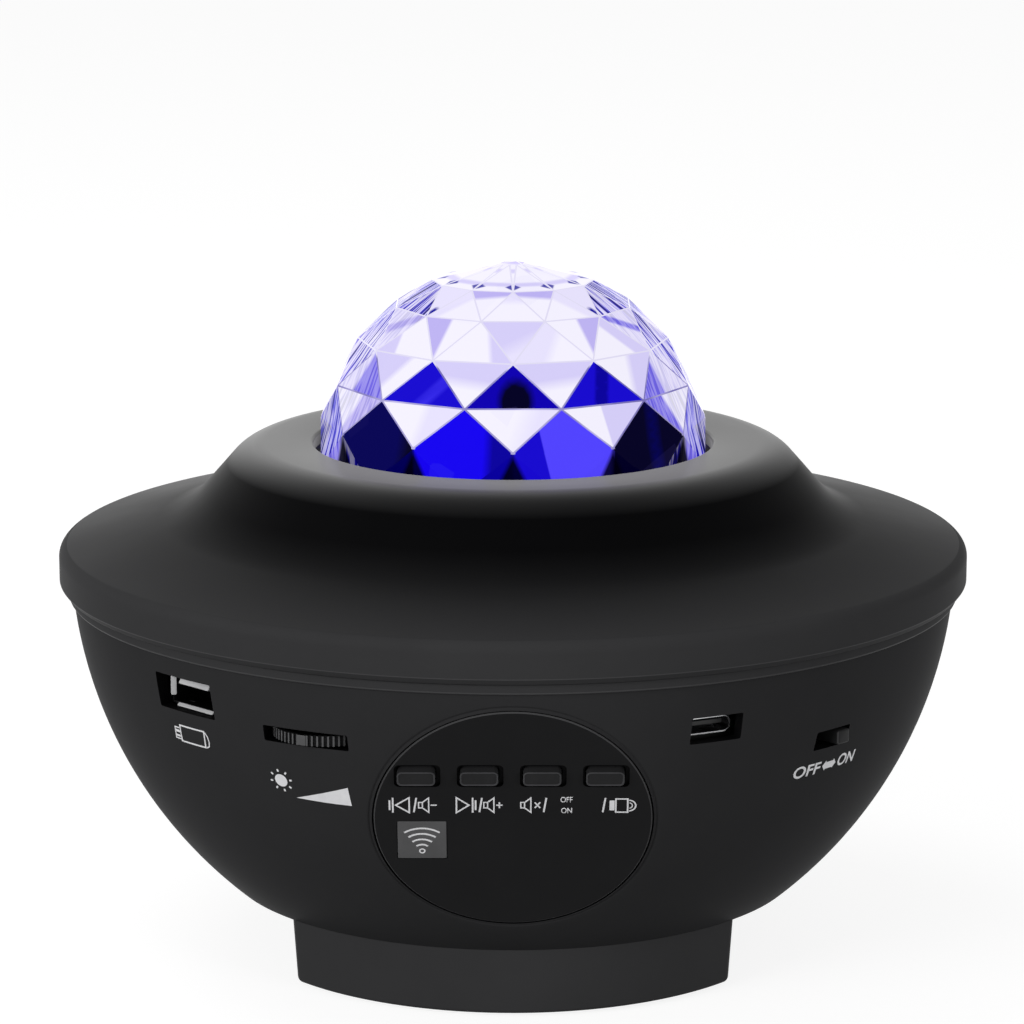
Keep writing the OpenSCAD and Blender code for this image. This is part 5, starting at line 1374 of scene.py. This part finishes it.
def dome():
    """The painted shell on its flange."""
    shell = dome_facets()
    shell.data.materials[0] = dome_light()
    shell.data.materials[1] = dome_ridge()
    flange = turned("dome_flange", [
        (DOME_IN, -1), (FLANGE_R - 0.3, -1), (FLANGE_R, -0.7), (FLANGE_R, 0.7),
        (FLANGE_R - 0.3, 1), (DOME_IN, 1)], 96)
    flange.data.materials.append(shell.data.materials[0])
    o = joined(shell, flange)
    painted(o)
    only(o)
    bpy.ops.object.shade_flat()
    return placed(o, shift(0, 0, DOME_Z))


hand_over(dome(), "dome_violet", "dome")

# ---- stage, lights and camera ----
bpy.ops.mesh.primitive_plane_add(size=12)
floor = added("studio_floor")


def white_seen(name, lit, seen):
    """A pale matt surface with a brightness of its own, on top of what the lamps give it, for
    the camera, mirrors and glass."""
    m, tree, skin = new_material(name)
    path = new_node(tree, "LightPath").outputs
    either = calc(tree, "MAXIMUM", path["Is Camera Ray"], path["Is Glossy Ray"])
    either = calc(tree, "MAXIMUM", either, path["Is Transmission Ray"])
    feed(skin, {
        "Base Color": (lit, lit, lit, 1), "Roughness": 1.0, "Specular IOR Level": 0.0,
        "Emission Color": (1, 1, 1, 1), "Emission Strength": calc(tree, "MULTIPLY", either, seen)})
    return m


floor.data.materials.append(white_seen("floor_white", 0.3, 0.86))

world = bpy.data.worlds.new("studio")
bpy.context.scene.world = world
world.use_nodes = True
sky = world.node_tree
path = new_node(sky, "LightPath").outputs
seen = calc(sky, "MAXIMUM", path["Is Camera Ray"], path["Is Transmission Ray"])
# mirrors see a ceiling that darkens upwards and to the right
ways = parts_of(sky, coordinate(sky, "Generated"))
ceiling = calc(sky, "MULTIPLY", to_range(sky, ways["Z"], 0.68, 0.95, 1.0, 0.3),
               to_range(sky, ways["X"], -0.05, 0.35, 1.0, 0.5))
seen = calc(sky, "MAXIMUM", seen, calc(sky, "MULTIPLY", path["Is Glossy Ray"], ceiling))
feed(sky.nodes["Background"], {"Color": (1, 1, 1, 1),
                               "Strength": to_range(sky, seen, 0, 1, 0.3, 1.0)})


def in_scene(name, data):
    """An object of that data, in the scene."""
    o = bpy.data.objects.new(name, data)
    bpy.context.scene.collection.objects.link(o)
    return o


def softbox(name, place, aim_z, size, watts):
    """A square lamp that looks at that height on the middle line, and shows in no mirror."""
    lamp = bpy.data.lights.new(name, "AREA")
    lamp.size, lamp.energy = size, watts
    o = in_scene(name, lamp)
    o.location = place
    way = Vector((0, 0, aim_z)) - Vector(place)
    o.rotation_euler = way.to_track_quat("-Z", "Y").to_euler()
    o.visible_glossy = False


softbox("key_box", (-1.0, -0.9, 0.38), 0.05, 0.7, 11)
softbox("fill_box", (1.0, -0.95, 0.24), 0.05, 0.5, 6.5)
softbox("top_box", (-0.5, 0.3, 1.4), 0.08, 0.7, 4)

lens = bpy.data.cameras.new("camera")
lens.lens, lens.sensor_width = 145.15, 36
lens.shift_x = -0.001
camera = in_scene("camera", lens)
camera.location = (0, -0.750, 0.2410)
camera.rotation_euler = (math.radians(90 - 12.09), 0, 0)
bpy.context.scene.camera = camera
bpy.context.scene.view_settings.view_transform = "Standard"
